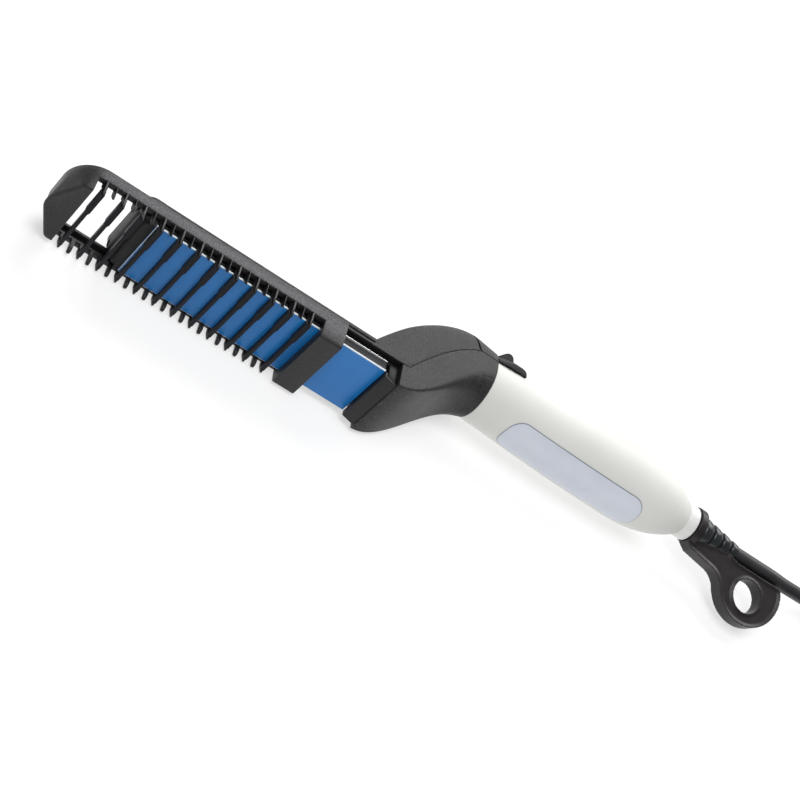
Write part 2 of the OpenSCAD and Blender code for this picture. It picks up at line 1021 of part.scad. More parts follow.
// Side view of the hump: a long slope in front, a steep one behind
module hump_side() {
    top_r = 1.6;
    foot_z = axis_z - saddle_r + 2;
    hull() {
        translate([knob_x0, foot_z - 2.8])
            square([knob_len, 2.8]);
        for (x = [knob_len * 0.64, knob_len * 0.8])
            translate([knob_x0 + x, axis_z - knob_top + top_r])
                circle(r = top_r, $fn = 32);
    }
}

// End view of the hump
module hump_front() {
    corner = 2.4;
    foot_z = axis_z - saddle_r + 2;
    hull() {
        translate([-knob_half_w, foot_z - 2])
            square([2 * knob_half_w, 2]);
        for (side = [-1, 1])
            translate([side * (knob_half_w - corner), axis_z - knob_top + corner])
                circle(r = corner, $fn = 32);
    }
}

// The slider inside the sleeve carries the moving contacts
module switch_slider() {
    color([0.80, 0.78, 0.70])
        place()
            block([stem_x - 3, -4, stem_end_z], [stem_x + stem_len + 1, 4, stem_end_z + 2.4]);
}

// ---- Swivel and cord end ----

hub_x0 = butt_x - 16;
hub_flange_x = collar_x + shell_end - 2.1;

module swivel_hub() {
    color([0.20, 0.20, 0.22])
        place()
            about_axis(hub_x0)
                polygon([
                    [0, 0],
                    [3.6, 0],
                    [3.6, hub_flange_x - hub_x0],
                    [hub_flange_r, hub_flange_x - hub_x0],
                    [hub_flange_r, hub_flange_x - hub_x0 + 2],
                    [hub_r, hub_flange_x - hub_x0 + 2],
                    [hub_r, boot_x - hub_x0 + 0.3],
                    [0, boot_x - hub_x0 + 0.3]
                ]);
}

ring_xs = [hub_x0 + 2, hub_x0 + 5.5];

module slip_rings() {
    color([0.78, 0.62, 0.25])
        place()
            for (x = ring_xs)
                about_axis(x)
                    translate([3.6, 0])
                        square([0.8, 1.8]);
}

// The carrier of the contacts reaches the wall of the sleeve with its rear corners
contact_half_w = 2;
contact_x1 = ring_xs[1] + 1.8;
contact_wall_r = handle_radius(contact_x1 - collar_x) - handle_wall - touch;
contact_top_z = axis_z + sqrt(pow(contact_wall_r, 2) - pow(contact_half_w, 2));
contact_low_z = contact_top_z - 1.9;

// Sprung contacts on a carrier under the wall of the sleeve, one on each ring
module ring_contacts() {
    color([0.78, 0.62, 0.25])
        place() {
            for (x = ring_xs)
                block([x + 0.4, -1.2, axis_z + 4.4 + run], [x + 1.4, 1.2, contact_low_z]);
            block([ring_xs[0], -contact_half_w, contact_low_z],
                  [contact_x1, contact_half_w, contact_top_z]);
        }
}

boot_end_r = cord_r + 0.35;
boot_base_r = butt_r - 0.5;
boot_x0 = boot_x + 0.3;
boot_rings = 4;

// Half profile of the strain relief: a taper with raised rings
function boot_radius(u) = mix(boot_base_r, boot_end_r, u);

module boot_profile(grow) {
    ring_gap = boot_len / (boot_rings + 0.5);
    polygon(concat(
        [[0, 0], [boot_base_r + grow, 0], [boot_base_r + grow, 2]],
        [for (i = [0 : boot_rings - 1])
            let (s = 3.4 + i * ring_gap, r = boot_radius(s / boot_len))
                each [
                    [r - 0.6 + grow, s],
                    [r - 0.6 + grow, s + 0.9],
                    [boot_radius((s + 1.3) / boot_len) + grow, s + 1.3],
                    [boot_radius((s + ring_gap - 0.9) / boot_len) + grow, s + ring_gap - 0.9]
                ]],
        [[boot_end_r + grow, boot_len], [0, boot_len]]
    ));
}

module strain_relief() {
    color([0.20, 0.23, 0.25])
        place()
            about_axis(boot_x0)
                boot_profile(0);
}

// The loop lies in a plane through the handle axis, tilted down to the floor
module loop_plane() {
    translate([0, 0, axis_z])
        rotate([-90 + loop_tilt, 0, 0])
            mirror([0, 1, 0])
                mirror([0, 0, 1])
                    children();
}

loop_clear = cord_r + 1.2;
loop_corner = 3;
loop_fillet = 9;

// The loop is a round tab, cut straight where the cord passes it
module loop_outline() {
    offset(r = loop_corner)
        offset(delta = -loop_corner)
            intersection() {
                translate([loop_x, loop_out])
                    circle(r = loop_r, $fn = 96);
                translate([loop_x - 2 * loop_r, loop_clear])
                    square([4 * loop_r, 4 * loop_r]);
            }
}

// The arm runs along the strain relief from the butt to the tab
module loop_arm() {
    hull() {
        translate([boot_x0, 0])
            square([2, 8]);
        translate([boot_x0 + 0.16 * boot_len, butt_r + 0.8])
            circle(r = 2, $fn = 32);
        translate([boot_x0 + 0.68 * boot_len, butt_r + 2])
            circle(r = 3, $fn = 32);
        translate([boot_x0 + 0.92 * boot_len, loop_clear])
            square([2, loop_r / 2]);
        translate([boot_x0 + 0.68 * boot_len, 0])
            square([1, 1]);
    }
}

module hanging_loop() {
    color([0.22, 0.20, 0.21])
        place()
            difference() {
                union() {
                    loop_plane()
                        translate([0, 0, -loop_t / 2])
                            linear_extrude(loop_t)
                                difference() {
                                    offset(r = -loop_fillet)
                                        offset(delta = loop_fillet) {
                                            loop_arm();
                                            loop_outline();
                                        }
                                    translate([loop_x - 0.5, loop_out + 3.5])
                                        circle(r = loop_hole_r, $fn = 64);
                                }
                    about_axis(boot_x0)
                        square([butt_r + 0.6, 3.6]);
                }
                about_axis(boot_x0 - 1)
                    square([boot_base_r + touch, 3.1]);
                about_axis(boot_x0)
                    boot_profile(touch);
                axis_rod(boot_x0 + boot_len - 1, 40, boot_end_r + run);
            }
}

// ---- Cord, in the part's own axes ----

// Where the cord leaves the strain relief, bends to the floor and meets the coil
cord_route = [
    [148.5, 11.25, 17.4],
    [160, 11.25, 17.4],
    [170, 11.25, 17.4],
    [177, 11.4, 16.9],
    [185, 13.3, 15.4],
    [193, 16.2, 13.1],
    [201, 19.7, 10.4],
    [209, 23.2, 7.7],
    [218, 26.3, 5.2],
    [227, 28, 4],
    [235, 28.2, 3.5],
    [243, 28.2, 3.7]
];

// Where the cord lifts off the coil and turns into the plug that lies on it
tail_route = [
    [279.2, 21.5, 11.2],
    [289, 14, 12.3],
    [296.6, 4.3, 13.8],
    [301.5, -7.2, 15.4],
    [303.2, -19.5, 16.9],
    [301.6, -28.7, 18],
    [295.3, -38.6, 19.1],
    [285.4, -44.9, 19.9],
    [276.2, -46.5, 20.2],
    [273.2, -46.5, 20.2]
];

coil_centre = [255.5, -19.5];
coil_pitch = 6.25;
coil_turns = 3.625;
coil_mid_r = 36.4;
coil_floor = 0.8;
coil_half_w = coil_turns * coil_pitch / 2 + cord_r;
coil_h = coil_pitch + 2 * cord_r;

function unit(v) = v / norm(v);
function heading(route, i) =
    unit(route[min(i + 1, len(route) - 1)] - route[max(i - 1, 0)]);
function cord_ring(route, i) =
    let (
        t = heading(route, i),
        s = unit(cross([0, 0, 1], t)),
        u = cross(t, s)
    )
    [for (k = [0 : 9]) route[i] + cord_r * (cos(36 * k) * s + sin(36 * k) * u)];

module cord_tube(route) {
    skin([for (i = [0 : len(route) - 1]) cord_ring(route, i)]);
}

module power_cord() {
    color([0.10, 0.10, 0.11]) {
        cord_tube(cord_route);
        cord_tube(tail_route);
    }
}

module cord_coil() {
    bevel = cord_r * 0.6;
    color([0.10, 0.10, 0.11])
        translate([coil_centre[0], coil_centre[1], coil_floor])
            rotate_extrude($fn = 96)
                translate([coil_mid_r - coil_half_w, 0])
                    polygon([
                        [bevel, 0],
                        [2 * coil_half_w - bevel, 0],
                        [2 * coil_half_w, bevel],
                        [2 * coil_half_w, coil_h - bevel],
                        [2 * coil_half_w - bevel, coil_h],
                        [bevel, coil_h],
                        [0, coil_h - bevel],
                        [0, bevel]
                    ]);
}

// A flat strap round the bundle of turns
module cord_tie() {
    tie_w = 12;
    tie_t = 0.6;
    slack = 0.9;
    color([0.14, 0.14, 0.15])
        translate([coil_centre[0], coil_centre[1], coil_floor])
            rotate([0, 0, 135])
                translate([coil_mid_r, tie_w / 2, 0])
                    rotate([90, 0, 0])
                        linear_extrude(tie_w)
                            difference() {
                                translate([-coil_half_w - slack - tie_t, -tie_t])
                                    square([2 * (coil_half_w + slack + tie_t), coil_h + 2 * tie_t]);
                                translate([-coil_half_w - slack, 0])
                                    square([2 * (coil_half_w + slack), coil_h]);
                            }
}

plug_relief_len = 18;
plug_at = [273.2, -46.5, 20.2];

// Lays the plug on the coil, from the end of the cord towards -X
module plug_place() {
    translate(plug_at)
        rotate([0, 0, 180])
            children();
}

module plug_body() {
    waist = 9;
    bevel = 1.6;
    half_t = plug_t / 2;
    color([0.11, 0.11, 0.12])
        plug_place() {
            rotate([0, 90, 0])
                cylinder(h = plug_relief_len + 1, r1 = cord_r + 0.6, r2 = cord_r + 2.2);
            intersection() {
                translate([plug_relief_len, 0, -half_t])
                    linear_extrude(plug_t)
                        hull() {
                            translate([3, -waist])
                                square([1, 2 * waist]);
                            translate([0, -waist + 3])
                                square([1, 2 * waist - 6]);
                            translate([plug_len - 12, -plug_w / 2])
                                square([12, plug_w]);
                        }
                translate([plug_relief_len, plug_w, 0])
                    rotate([90, 0, 0])
                        linear_extrude(2 * plug_w)
                            polygon([
                                [0, -half_t + bevel],
                                [bevel, -half_t],
                                [plug_len - bevel, -half_t],
                                [plug_len, -half_t + bevel],
                                [plug_len, half_t - bevel],
                                [plug_len - bevel, half_t],
                                [bevel, half_t],
                                [0, half_t - bevel]
                            ]);
            }
        }
}

module plug_pins() {
    color([0.80, 0.80, 0.82])
        plug_place()
            for (side = [-1, 1])
                translate([plug_relief_len + plug_len, side * pin_gap / 2, 0])
                    rotate([0, 90, 0])
                        cylinder(h = pin_len, r = pin_r);
}

comb_frame();
comb_ribs();
comb_teeth();
heating_plate();
plate_carrier();
ptc_heater();
heater_insulation();
thermal_fuse();
nose_cap();
arm_screws();
plate_bezel();
root_insulator();
neck_back();
neck_front();
neck_tab();
heater_leads();
handle_sleeve();
handle_label();
butt_collar();
board_tray();
circuit_board();
board_parts();
switch_saddle();
switch_knob();
switch_slider();
swivel_hub();
slip_rings();
ring_contacts();
strain_relief();
hanging_loop();
power_cord();
cord_coil();
cord_tie();
plug_body();
plug_pins();
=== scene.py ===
"""Looks for the hot comb: its pieces, finishes, cord, stage and camera.

Lengths in the piece makers are millimetres on the head axes: x runs from the first tooth to the
butt of the handle, y across the plate, z off the face of the plate. spot() turns a point of those
axes into the part's own frame, in metres.
"""

import json
from math import acos, asin, copysign, cos, degrees, pi, radians, sin, sqrt

import bmesh
import bpy
from mathutils import Matrix, Vector


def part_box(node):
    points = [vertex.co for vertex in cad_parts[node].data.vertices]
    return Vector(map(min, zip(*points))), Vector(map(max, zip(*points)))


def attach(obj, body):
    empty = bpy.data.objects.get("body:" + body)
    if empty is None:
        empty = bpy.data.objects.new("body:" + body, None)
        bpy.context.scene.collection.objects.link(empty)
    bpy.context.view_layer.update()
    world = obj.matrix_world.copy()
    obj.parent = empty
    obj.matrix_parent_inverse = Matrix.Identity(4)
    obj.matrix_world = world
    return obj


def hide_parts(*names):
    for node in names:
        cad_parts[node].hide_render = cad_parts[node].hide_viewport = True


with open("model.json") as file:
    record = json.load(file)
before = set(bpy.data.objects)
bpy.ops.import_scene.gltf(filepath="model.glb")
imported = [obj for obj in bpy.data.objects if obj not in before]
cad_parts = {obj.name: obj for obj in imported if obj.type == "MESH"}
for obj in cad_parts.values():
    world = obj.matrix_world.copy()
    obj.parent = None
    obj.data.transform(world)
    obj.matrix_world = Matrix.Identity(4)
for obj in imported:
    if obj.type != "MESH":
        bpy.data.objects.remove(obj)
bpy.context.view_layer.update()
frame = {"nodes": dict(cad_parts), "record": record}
nodes = frame["nodes"]

# ---- places taken from the frame

MM = 0.001
PLATE_START = 22.6  # from the first tooth to the tip end of the plate

plate_low, plate_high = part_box("heating_plate")
head_x = plate_low.x - PLATE_START * MM
head_y = (plate_low.z + plate_high.z) / 2
head_z = plate_low.y


def spot(x, y, z):
    """A point of the head axes, in millimetres, in the part's frame, in metres."""
    return Vector((head_x + x * MM, head_z - z * MM, head_y + y * MM))


def reach(node):
    """Lowest and highest place of a node on the head axes, in millimetres."""
    low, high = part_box(node)
    return (
        Vector(((low.x - head_x) / MM, (low.z - head_y) / MM, (head_z - high.y) / MM)),
        Vector(((high.x - head_x) / MM, (high.z - head_y) / MM, (head_z - low.y) / MM)),
    )


plate_from, plate_to = reach("heating_plate")
plate_x0, plate_x1, plate_half = plate_from.x, plate_to.x, plate_to.y
mouth_x = reach("neck_front")[0].x
collar_x, butt_x = (place.x for place in reach("handle_sleeve"))
boot_from, boot_to = reach("strain_relief")
boot_x0, boot_x1, axis_z = boot_from.x, boot_to.x, (boot_from.z + boot_to.z) / 2

# ---- camera


def set_camera():
    """Looks down on the tool from its tip side, turned so that the handle falls to the right."""
    right = Vector((0.795221, 0.138563, 0.590275)).normalized()
    up = Vector((-0.501690, 0.697074, 0.512245)).normalized()
    back = right.cross(up).normalized()
    eye = Vector((-0.271588, -0.534132, 0.473629))
    data = bpy.data.cameras.new("camera")
    data.sensor_width = 36.0
    data.lens = 86.875
    data.clip_start = 0.05
    data.clip_end = 20.0
    camera = bpy.data.objects.new("camera", data)
    bpy.context.scene.collection.objects.link(camera)
    turn = Matrix((right, up, back)).transposed().to_4x4()
    camera.matrix_world = Matrix.Translation(eye) @ turn
    bpy.context.scene.camera = camera


set_camera()

# ---- finishes

finishes = {}


class Finish:
    """A material under construction: its nodes, its links and its shader."""

    def __init__(self, name):
        self.name = name
        self.material = bpy.data.materials.new(name)
        self.material.use_nodes = True
        self.tree = self.material.node_tree
        self.shader = self.tree.nodes["Principled BSDF"]
        self.place = self.add("TexCoord").outputs["Object"]

    def put(self, node, key, value):
        """Sets a socket, or links it where the value comes out of another node."""
        if isinstance(value, bpy.types.NodeSocket):
            self.tree.links.new(value, node.inputs[key])
        else:
            node.inputs[key].default_value = value

    def add(self, kind, **sockets):
        node = self.tree.nodes.new("ShaderNode" + kind)
        for key, value in sockets.items():
            self.put(node, key.replace("_", " "), value)
        return node

    def noise(self, scale, detail, rough=0.5, stretch=None):
        place = self.place
        if stretch:
            place = self.add("Mapping", Vector=place, Scale=stretch).outputs[0]
        node = self.add("TexNoise", Vector=place, Scale=scale, Detail=detail, Roughness=rough)
        return node.outputs["Fac"]

    def waves(self, scale, distortion):
        return self.add("TexWave", Vector=self.place, Scale=scale, Distortion=distortion).outputs["Fac"]

    def steps(self, value, low, high, to_low=0.0, to_high=1.0):
        ends = {"From_Min": low, "From_Max": high, "To_Min": to_low, "To_Max": to_high}
        return self.add("MapRange", Value=value, **ends).outputs["Result"]

    def blend(self, share, first, second):
        node = self.add("Mix")
        node.data_type = "RGBA"
        self.put(node, "Factor", share)
        for index, value in ((6, first), (7, second)):
            self.put(node, index, (*value, 1.0) if isinstance(value, tuple) else value)
        return node.outputs[2]

    def mottle(self, value, low, high, first, second):
        return self.blend(self.steps(value, low, high), first, second)

    def lay(self, value, low, high, amount, under, over):
        return self.blend(self.steps(value, low, high, 0.0, amount), under, over)

    def calc(self, operation, *values):
        node = self.add("Math")
        node.operation = operation
        for index, value in enumerate(values):
            self.put(node, index, value)
        return node.outputs[0]

    def sum(self, first, second, share):
        return self.calc("MULTIPLY_ADD", second, share, first)

    def edge(self, share):
        """Rises to share on outer edges, where hands and hair rub."""
        pointed = self.add("NewGeometry").outputs["Pointiness"]
        return self.steps(pointed, 0.52, 0.62, 0.0, share)

    def side_grain_and_light(self, share):
        """Rises to share on the two side faces of the comb: they have the coarser grain, and their
        lighter tone is painted light for the lit upper wall.
        """
        level = self.add("SeparateXYZ", Vector=self.place).outputs["Z"]
        away = self.calc("ABSOLUTE", self.calc("SUBTRACT", level, head_y))
        return self.steps(away, head_y - 0.0009, head_y - 0.0002, 0.0, share)

    def bump(self, height, depth, before=None):
        node = self.add("Bump", Height=height, Strength=1.0, Distance=depth)
        if before:
            self.put(node, "Normal", before)
        return node.outputs["Normal"]

    def finish(self, colour, rough, normal=None, metal=0.0, sheen=0.0, coat=0.0, specular=0.5):
        """Sets the shader and puts the material with the others, under its name."""
        settings = {
            "Base Color": colour, "Roughness": rough, "Metallic": metal, "Sheen Weight": sheen,
            "Coat Weight": coat, "Coat Roughness": 0.12, "Specular IOR Level": specular,
        }
        for key, value in settings.items():
            self.put(self.shader, key, value)
        if normal:
            self.put(self.shader, "Normal", normal)
        finishes[self.name] = self.material


def shade(colour, times, plus=0.0):
    return tuple(times * c + plus for c in colour)


def spark_plastic(name, dark, light, grain, depth, rough, glint_flecks, specular=0.32, side_grain_and_light_share=0.0):
    """Moulded plastic with a spark-eroded grain: craters in two sizes with painted shade in their
    bottoms, pale flecks that are painted glints, rubbed edges.
    """
    f = Finish(name)
    cloud, craters, pits = f.noise(45, 3), f.noise(grain * 0.9, 4, 0.7), f.noise(grain, 3, 0.6)
    body = f.mottle(cloud, 0.35, 0.65, dark, light)
    # painted glints: pale flecks, far lighter than the plastic, stand for the grain catching the light
    glint_flecked = f.lay(craters, 0.52, 0.68, glint_flecks, body, shade(light, 3.2, 0.03))
    # painted shade: the low, sunk spots of the craters are darkened
    crater_shaded = f.lay(craters, 0.48, 0.34, 0.6, glint_flecked, shade(dark, 0.3))
    rubbed = f.blend(f.edge(0.35), crater_shaded, shade(light, 2.4))
    # partly painted light: the comb's side faces get a coarser grain and a much lighter tone that
    # stands for the light on the upper wall
    if side_grain_and_light_share:
        coarse_grain_and_light = f.mottle(craters, 0.4, 0.62, (0.026, 0.025, 0.028), (0.115, 0.110, 0.120))
        rubbed = f.blend(f.side_grain_and_light(side_grain_and_light_share), rubbed, coarse_grain_and_light)
    gloss = f.steps(f.sum(cloud, pits, 0.6), 0.55, 1.05, *rough)
    f.finish(rubbed, gloss, f.bump(pits, depth, f.bump(craters, 1.6 * depth)), specular=specular)


def smooth_plastic(name, dark, light, rough=(0.22, 0.38), grime=0.12, wave=0.00003, specular=0.5):
    """Moulded plastic with a polished face: faint flow marks, hairline scuffs, soft grime."""
    f = Finish(name)
    cloud, flow = f.noise(28, 4), f.noise(220, 2, 0.5, (1.0, 1.0, 0.35))
    scuffs = f.noise(900, 4, 0.7, (0.12, 1.0, 1.0))
    body = f.mottle(cloud, 0.35, 0.7, light, dark)
    dusted = f.lay(scuffs, 0.6, 0.8, grime, body, shade(dark, 0.6))
    gloss = f.steps(f.sum(flow, scuffs, 0.5), 0.5, 1.0, *rough)
    f.finish(dusted, gloss, f.bump(scuffs, wave * 0.3, f.bump(flow, wave)), specular=specular)


def plate_enamel():
    """Blue coating on the plate: a fine orange peel with hairlines along the comb's travel."""
    f = Finish("plate_enamel")
    cloud, peel, hairs = f.noise(60, 3), f.noise(1400, 2), f.noise(1100, 3, 0.65, (0.04, 1.0, 1.0))
    body = f.mottle(cloud, 0.3, 0.7, (0.007, 0.172, 0.520), (0.010, 0.200, 0.575))
    worn = f.lay(hairs, 0.62, 0.85, 0.2, body, (0.05, 0.32, 0.72))
    gloss = f.steps(f.sum(peel, hairs, 0.5), 0.5, 1.0, 0.26, 0.42)
    normal = f.bump(hairs, 0.000006, f.bump(peel, 0.000008))
    f.finish(worn, gloss, normal, coat=0.05, specular=0.35)


def drawn_metal(name, tone, rough=(0.22, 0.42), along=(0.03, 1.0, 1.0), metal=1.0):
    """Bare metal with the long marks of the die or the lathe."""
    f = Finish(name)
    marks, cloud = f.noise(2400, 3, 0.6, along), f.noise(70, 3)
    body = f.mottle(marks, 0.3, 0.75, shade(tone, 0.82), tone)
    dull = f.lay(cloud, 0.55, 0.8, 0.35, body, shade(tone, 0.6))
    f.finish(dull, f.steps(marks, 0.3, 0.8, *rough), f.bump(marks, 0.00001), metal=metal)


def rubber(name, dark, light, rough=(0.45, 0.68)):
    """Soft rubber: matt, with a dusty bloom."""
    f = Finish(name)
    cloud, pores = f.noise(90, 4), f.noise(1300, 3, 0.6)
    body = f.mottle(cloud, 0.35, 0.7, dark, light)
    dusty = f.blend(f.edge(0.4), body, shade(light, 2.2))
    gloss = f.steps(f.sum(cloud, pores, 0.5), 0.5, 1.0, *rough)
    f.finish(dusty, gloss, f.bump(pores, 0.00002), sheen=0.08)


def satin(name, dark, light, slow, fine, share, rough, ripple, tooth):
    """A satin skin with a slow waviness under a fine tooth, for the bare sticker and the cord."""
    f = Finish(name)
    waves, pores = f.noise(*slow), f.noise(*fine)
    body = f.mottle(waves, 0.3, 0.7, dark, light)
    gloss = f.steps(f.sum(waves, pores, share), 0.5, 1.0, *rough)
    f.finish(body, gloss, f.bump(pores, tooth, f.bump(waves, ripple)))


def woven_tie():
    """Hook-and-loop strap: rows of loops over a dark weave."""
    f = Finish("tie_fabric")
    weave, loops = f.waves(420, 2.5), f.noise(1900, 3, 0.7)
    body = f.mottle(loops, 0.35, 0.7, (0.020, 0.020, 0.023), (0.075, 0.075, 0.080))
    normal = f.bump(f.sum(loops, weave, 0.6), 0.00012)
    f.finish(body, f.steps(loops, 0.3, 0.8, 0.7, 0.95), normal, sheen=0.3)


def ceramic(name, dark, light):
    """Unglazed insulator: chalky, with fine pores."""
    f = Finish(name)
    pores, cloud = f.noise(1600, 4, 0.7), f.noise(120, 3)
    body = f.mottle(f.sum(cloud, pores, 0.5), 0.55, 0.95, dark, light)
    f.finish(body, f.steps(pores, 0.3, 0.8, 0.4, 0.65), f.bump(pores, 0.00002))


def amber_film():
    """Insulating film round the heater, amber and slightly creased."""
    f = Finish("insulation_film")
    creases = f.noise(160, 3, 0.6, (1.0, 0.3, 1.0))
    body = f.mottle(creases, 0.3, 0.7, (0.42, 0.20, 0.035), (0.56, 0.30, 0.06))
    f.finish(body, f.steps(creases, 0.3, 0.7, 0.18, 0.3), f.bump(creases, 0.00006))


def green_board():
    """Printed board: green lacquer with the weave of the glass showing through."""
    f = Finish("board_green")
    weave, cloud = f.waves(700, 0.6), f.noise(180, 3)
    body = f.blend(weave, (0.010, 0.085, 0.035), (0.016, 0.115, 0.050))
    spotted = f.lay(cloud, 0.6, 0.75, 0.4, body, (0.03, 0.17, 0.08))
    f.finish(spotted, f.steps(cloud, 0.3, 0.7, 0.25, 0.4), f.bump(weave, 0.00001))


# the comb's side faces take a coarser grain plus painted light
spark_plastic(
    "comb_plastic", (0.009, 0.0086, 0.0098), (0.015, 0.0142, 0.0168),
    grain=1700, depth=0.00012, rough=(0.34, 0.5), glint_flecks=0.25, specular=0.4, side_grain_and_light_share=0.75,
)
# painted shade and reflection: a darker copy of the comb plastic for the ribs, tinted navy for the blue
# plate's reflection
spark_plastic(
    "rib_shade_and_blue_reflection", (0.006, 0.0062, 0.008), (0.010, 0.0105, 0.014),
    grain=1700, depth=0.00004, rough=(0.4, 0.58), glint_flecks=0.05, specular=0.14,
)
plate_enamel()
drawn_metal("bare_aluminium", (0.86, 0.87, 0.88))
ceramic("heater_ceramic", (0.62, 0.58, 0.50), (0.74, 0.70, 0.62))
amber_film()
drawn_metal("fuse_steel", (0.70, 0.70, 0.72))
drawn_metal("screw_steel", (0.56, 0.56, 0.58), (0.3, 0.5), (1.0, 1.0, 1.0))
spark_plastic(
    "bezel_plastic", (0.010, 0.0096, 0.0096), (0.015, 0.0142, 0.0142),
    grain=1800, depth=0.00004, rough=(0.4, 0.58), glint_flecks=0.08,
)
smooth_plastic(
    "insulator_smoked", (0.006, 0.006, 0.007), (0.010, 0.010, 0.011), (0.3, 0.42), 0.15, specular=0.12
)
# painted highlight: the raw aluminium edges are near-white with a cyan tint and barely metal, so they
# stay bright under any light
drawn_metal("raw_edge_painted_highlight", (0.86, 0.93, 0.96), (0.35, 0.5), metal=0.15)
# painted shade: the dark colour of the strip that lines the carrier's recess
smooth_plastic(
    "carrier_recess_shade", (0.008, 0.008, 0.009), (0.028, 0.028, 0.031), (0.5, 0.7), specular=0.2
)
ceramic("insulator_white", (0.62, 0.62, 0.60), (0.74, 0.74, 0.72))
smooth_plastic(
    "nose_black", (0.009, 0.009, 0.010), (0.016, 0.0155, 0.017), (0.42, 0.58), 0.1, specular=0.25
)
spark_plastic(
    "neck_plastic", (0.009, 0.0083, 0.0095), (0.016, 0.0147, 0.0172),
    grain=1500, depth=0.00016, rough=(0.34, 0.5), glint_flecks=0.65,
)
smooth_plastic("lead_sleeve", (0.30, 0.035, 0.025), (0.45, 0.055, 0.04))
smooth_plastic(
    "handle_white", (0.71, 0.71, 0.675), (0.76, 0.76, 0.73), (0.42, 0.56), 0.02, 0.00001, 0.25
)
satin(
    "label_film", (0.640, 0.680, 0.770), (0.690, 0.725, 0.800),
    (110, 3), (1800, 2), 0.4, rough=(0.28, 0.42), ripple=0.00004, tooth=0.000004,
)
smooth_plastic("label_backing", (0.22, 0.25, 0.30), (0.28, 0.31, 0.36), (0.4, 0.55))
smooth_plastic("collar_white", (0.78, 0.78, 0.76), (0.84, 0.84, 0.82), (0.28, 0.42), 0.08)
smooth_plastic("tray_plastic", (0.10, 0.10, 0.11), (0.14, 0.14, 0.15))
green_board()
smooth_plastic("component_dark", (0.03, 0.03, 0.035), (0.05, 0.05, 0.055), (0.35, 0.5))
spark_plastic(
    "switch_plastic", (0.007, 0.007, 0.0075), (0.012, 0.012, 0.013),
    grain=1500, depth=0.00012, rough=(0.34, 0.5), glint_flecks=0.3, specular=0.1,
)
smooth_plastic("slider_ivory", (0.55, 0.52, 0.42), (0.66, 0.63, 0.53))
drawn_metal("contact_brass", (0.80, 0.58, 0.24))
rubber("boot_rubber", (0.009, 0.012, 0.014), (0.015, 0.019, 0.022), (0.20, 0.36))
smooth_plastic(
    "loop_plastic", (0.016, 0.013, 0.0145), (0.024, 0.020, 0.022), (0.30, 0.44), specular=0.3
)
satin(
    "cord_rubber", (0.012, 0.0125, 0.014), (0.019, 0.0195, 0.022),
    (130, 2), (1500, 3), 0.5, rough=(0.38, 0.55), ripple=0.00009, tooth=0.00001,
)
woven_tie()
rubber("plug_rubber", (0.026, 0.026, 0.029), (0.040, 0.040, 0.044))
drawn_metal("pin_nickel", (0.72, 0.70, 0.66), (0.14, 0.3), (1.0, 1.0, 0.05))


def ship(piece, body, slot_name, *stands_for, look=None):
    """Gives a piece its finish (its look, else its slot's finish) and its body, and hides the nodes it
    stands for.
    """
    piece.data.materials.clear()
    piece.data.materials.append(finishes[look or slot_name])
    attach(piece, body)
    if stands_for:
        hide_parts(*stands_for)
    return piece


def coat_node(node, slot_name):
    """A CAD node keeps its mesh and gets the finish in each of its slots."""
    if not node.material_slots:
        node.data.materials.append(finishes[slot_name])
    for place in node.material_slots:
        place.material = finishes[slot_name]


# ---- the cord, first of all

CORD_D = 0.0062
COIL = Vector((0.2555, -0.0195, 0.0039))
COIL_TURNS = 7.05
TURN_POINTS = 16
LAYER_TURNS = 3.625
PITCH = 0.00625
OUTER_R = 0.04773
CLIMB_TURNS = 0.6  # over which the cord climbs to the upper layer

lead_in = [
    (0.1485, 0.01125, 0.0174), (0.160, 0.01125, 0.0174), (0.170, 0.01125, 0.0174),
    (0.177, 0.0114, 0.0169), (0.185, 0.0133, 0.0154), (0.193, 0.0162, 0.0131),
    (0.201, 0.0197, 0.0104), (0.209, 0.0232, 0.0077), (0.218, 0.0263, 0.0052),
    (0.227, 0.0280, 0.0040), (0.235, 0.0282, 0.0037), (0.243, 0.0282, 0.0038),
]
lead_out = [
    (0.2792, 0.0215, 0.0112), (0.289, 0.014, 0.0123), (0.2966, 0.0043, 0.0138),
    (0.3015, -0.0072, 0.0154), (0.3032, -0.0195, 0.0169), (0.3016, -0.0287, 0.0180),
    (0.2953, -0.0386, 0.0191), (0.2854, -0.0449, 0.0199), (0.2762, -0.0465, 0.0202),
    (0.2710, -0.0465, 0.0202),
]


def coil_point(turn):
    """A point of the coil: inwards on the lower layer, outwards on the upper one."""
    angle = radians(90 - 360 * turn)
    radius = OUTER_R - PITCH * (turn if turn < LAYER_TURNS else 2 * LAYER_TURNS - turn)
    climb = min(1.0, max(0.0, (turn - LAYER_TURNS + CLIMB_TURNS / 2) / CLIMB_TURNS))
    lift = PITCH / 2 * (1 - cos(pi * climb))
    return (COIL.x + radius * cos(angle), COIL.y + radius * sin(angle), COIL.z + lift)


def make_cord():
    """One curve from the strain relief through both layers of the coil to the plug."""
    turns = [coil_point(k / TURN_POINTS) for k in range(int(COIL_TURNS * TURN_POINTS))]
    route = lead_in + turns + lead_out
    data = bpy.data.curves.new("power_cord_run", "CURVE")
    data.dimensions = "3D"
    line = data.splines.new("BEZIER")
    line.bezier_points.add(len(route) - 1)
    for knot, point in zip(line.bezier_points, route):
        knot.co = point
        knot.handle_left_type = knot.handle_right_type = "AUTO"
    line.resolution_u = 5
    data.bevel_depth = CORD_D / 2
    data.bevel_resolution = 5
    data.use_fill_caps = True
    cord = bpy.data.objects.new("power_cord_run", data)
    bpy.context.scene.collection.objects.link(cord)
    return ship(cord, "root", "cord_rubber", "power_cord", "cord_coil")


power_cord = make_cord()

# ---- hand tools


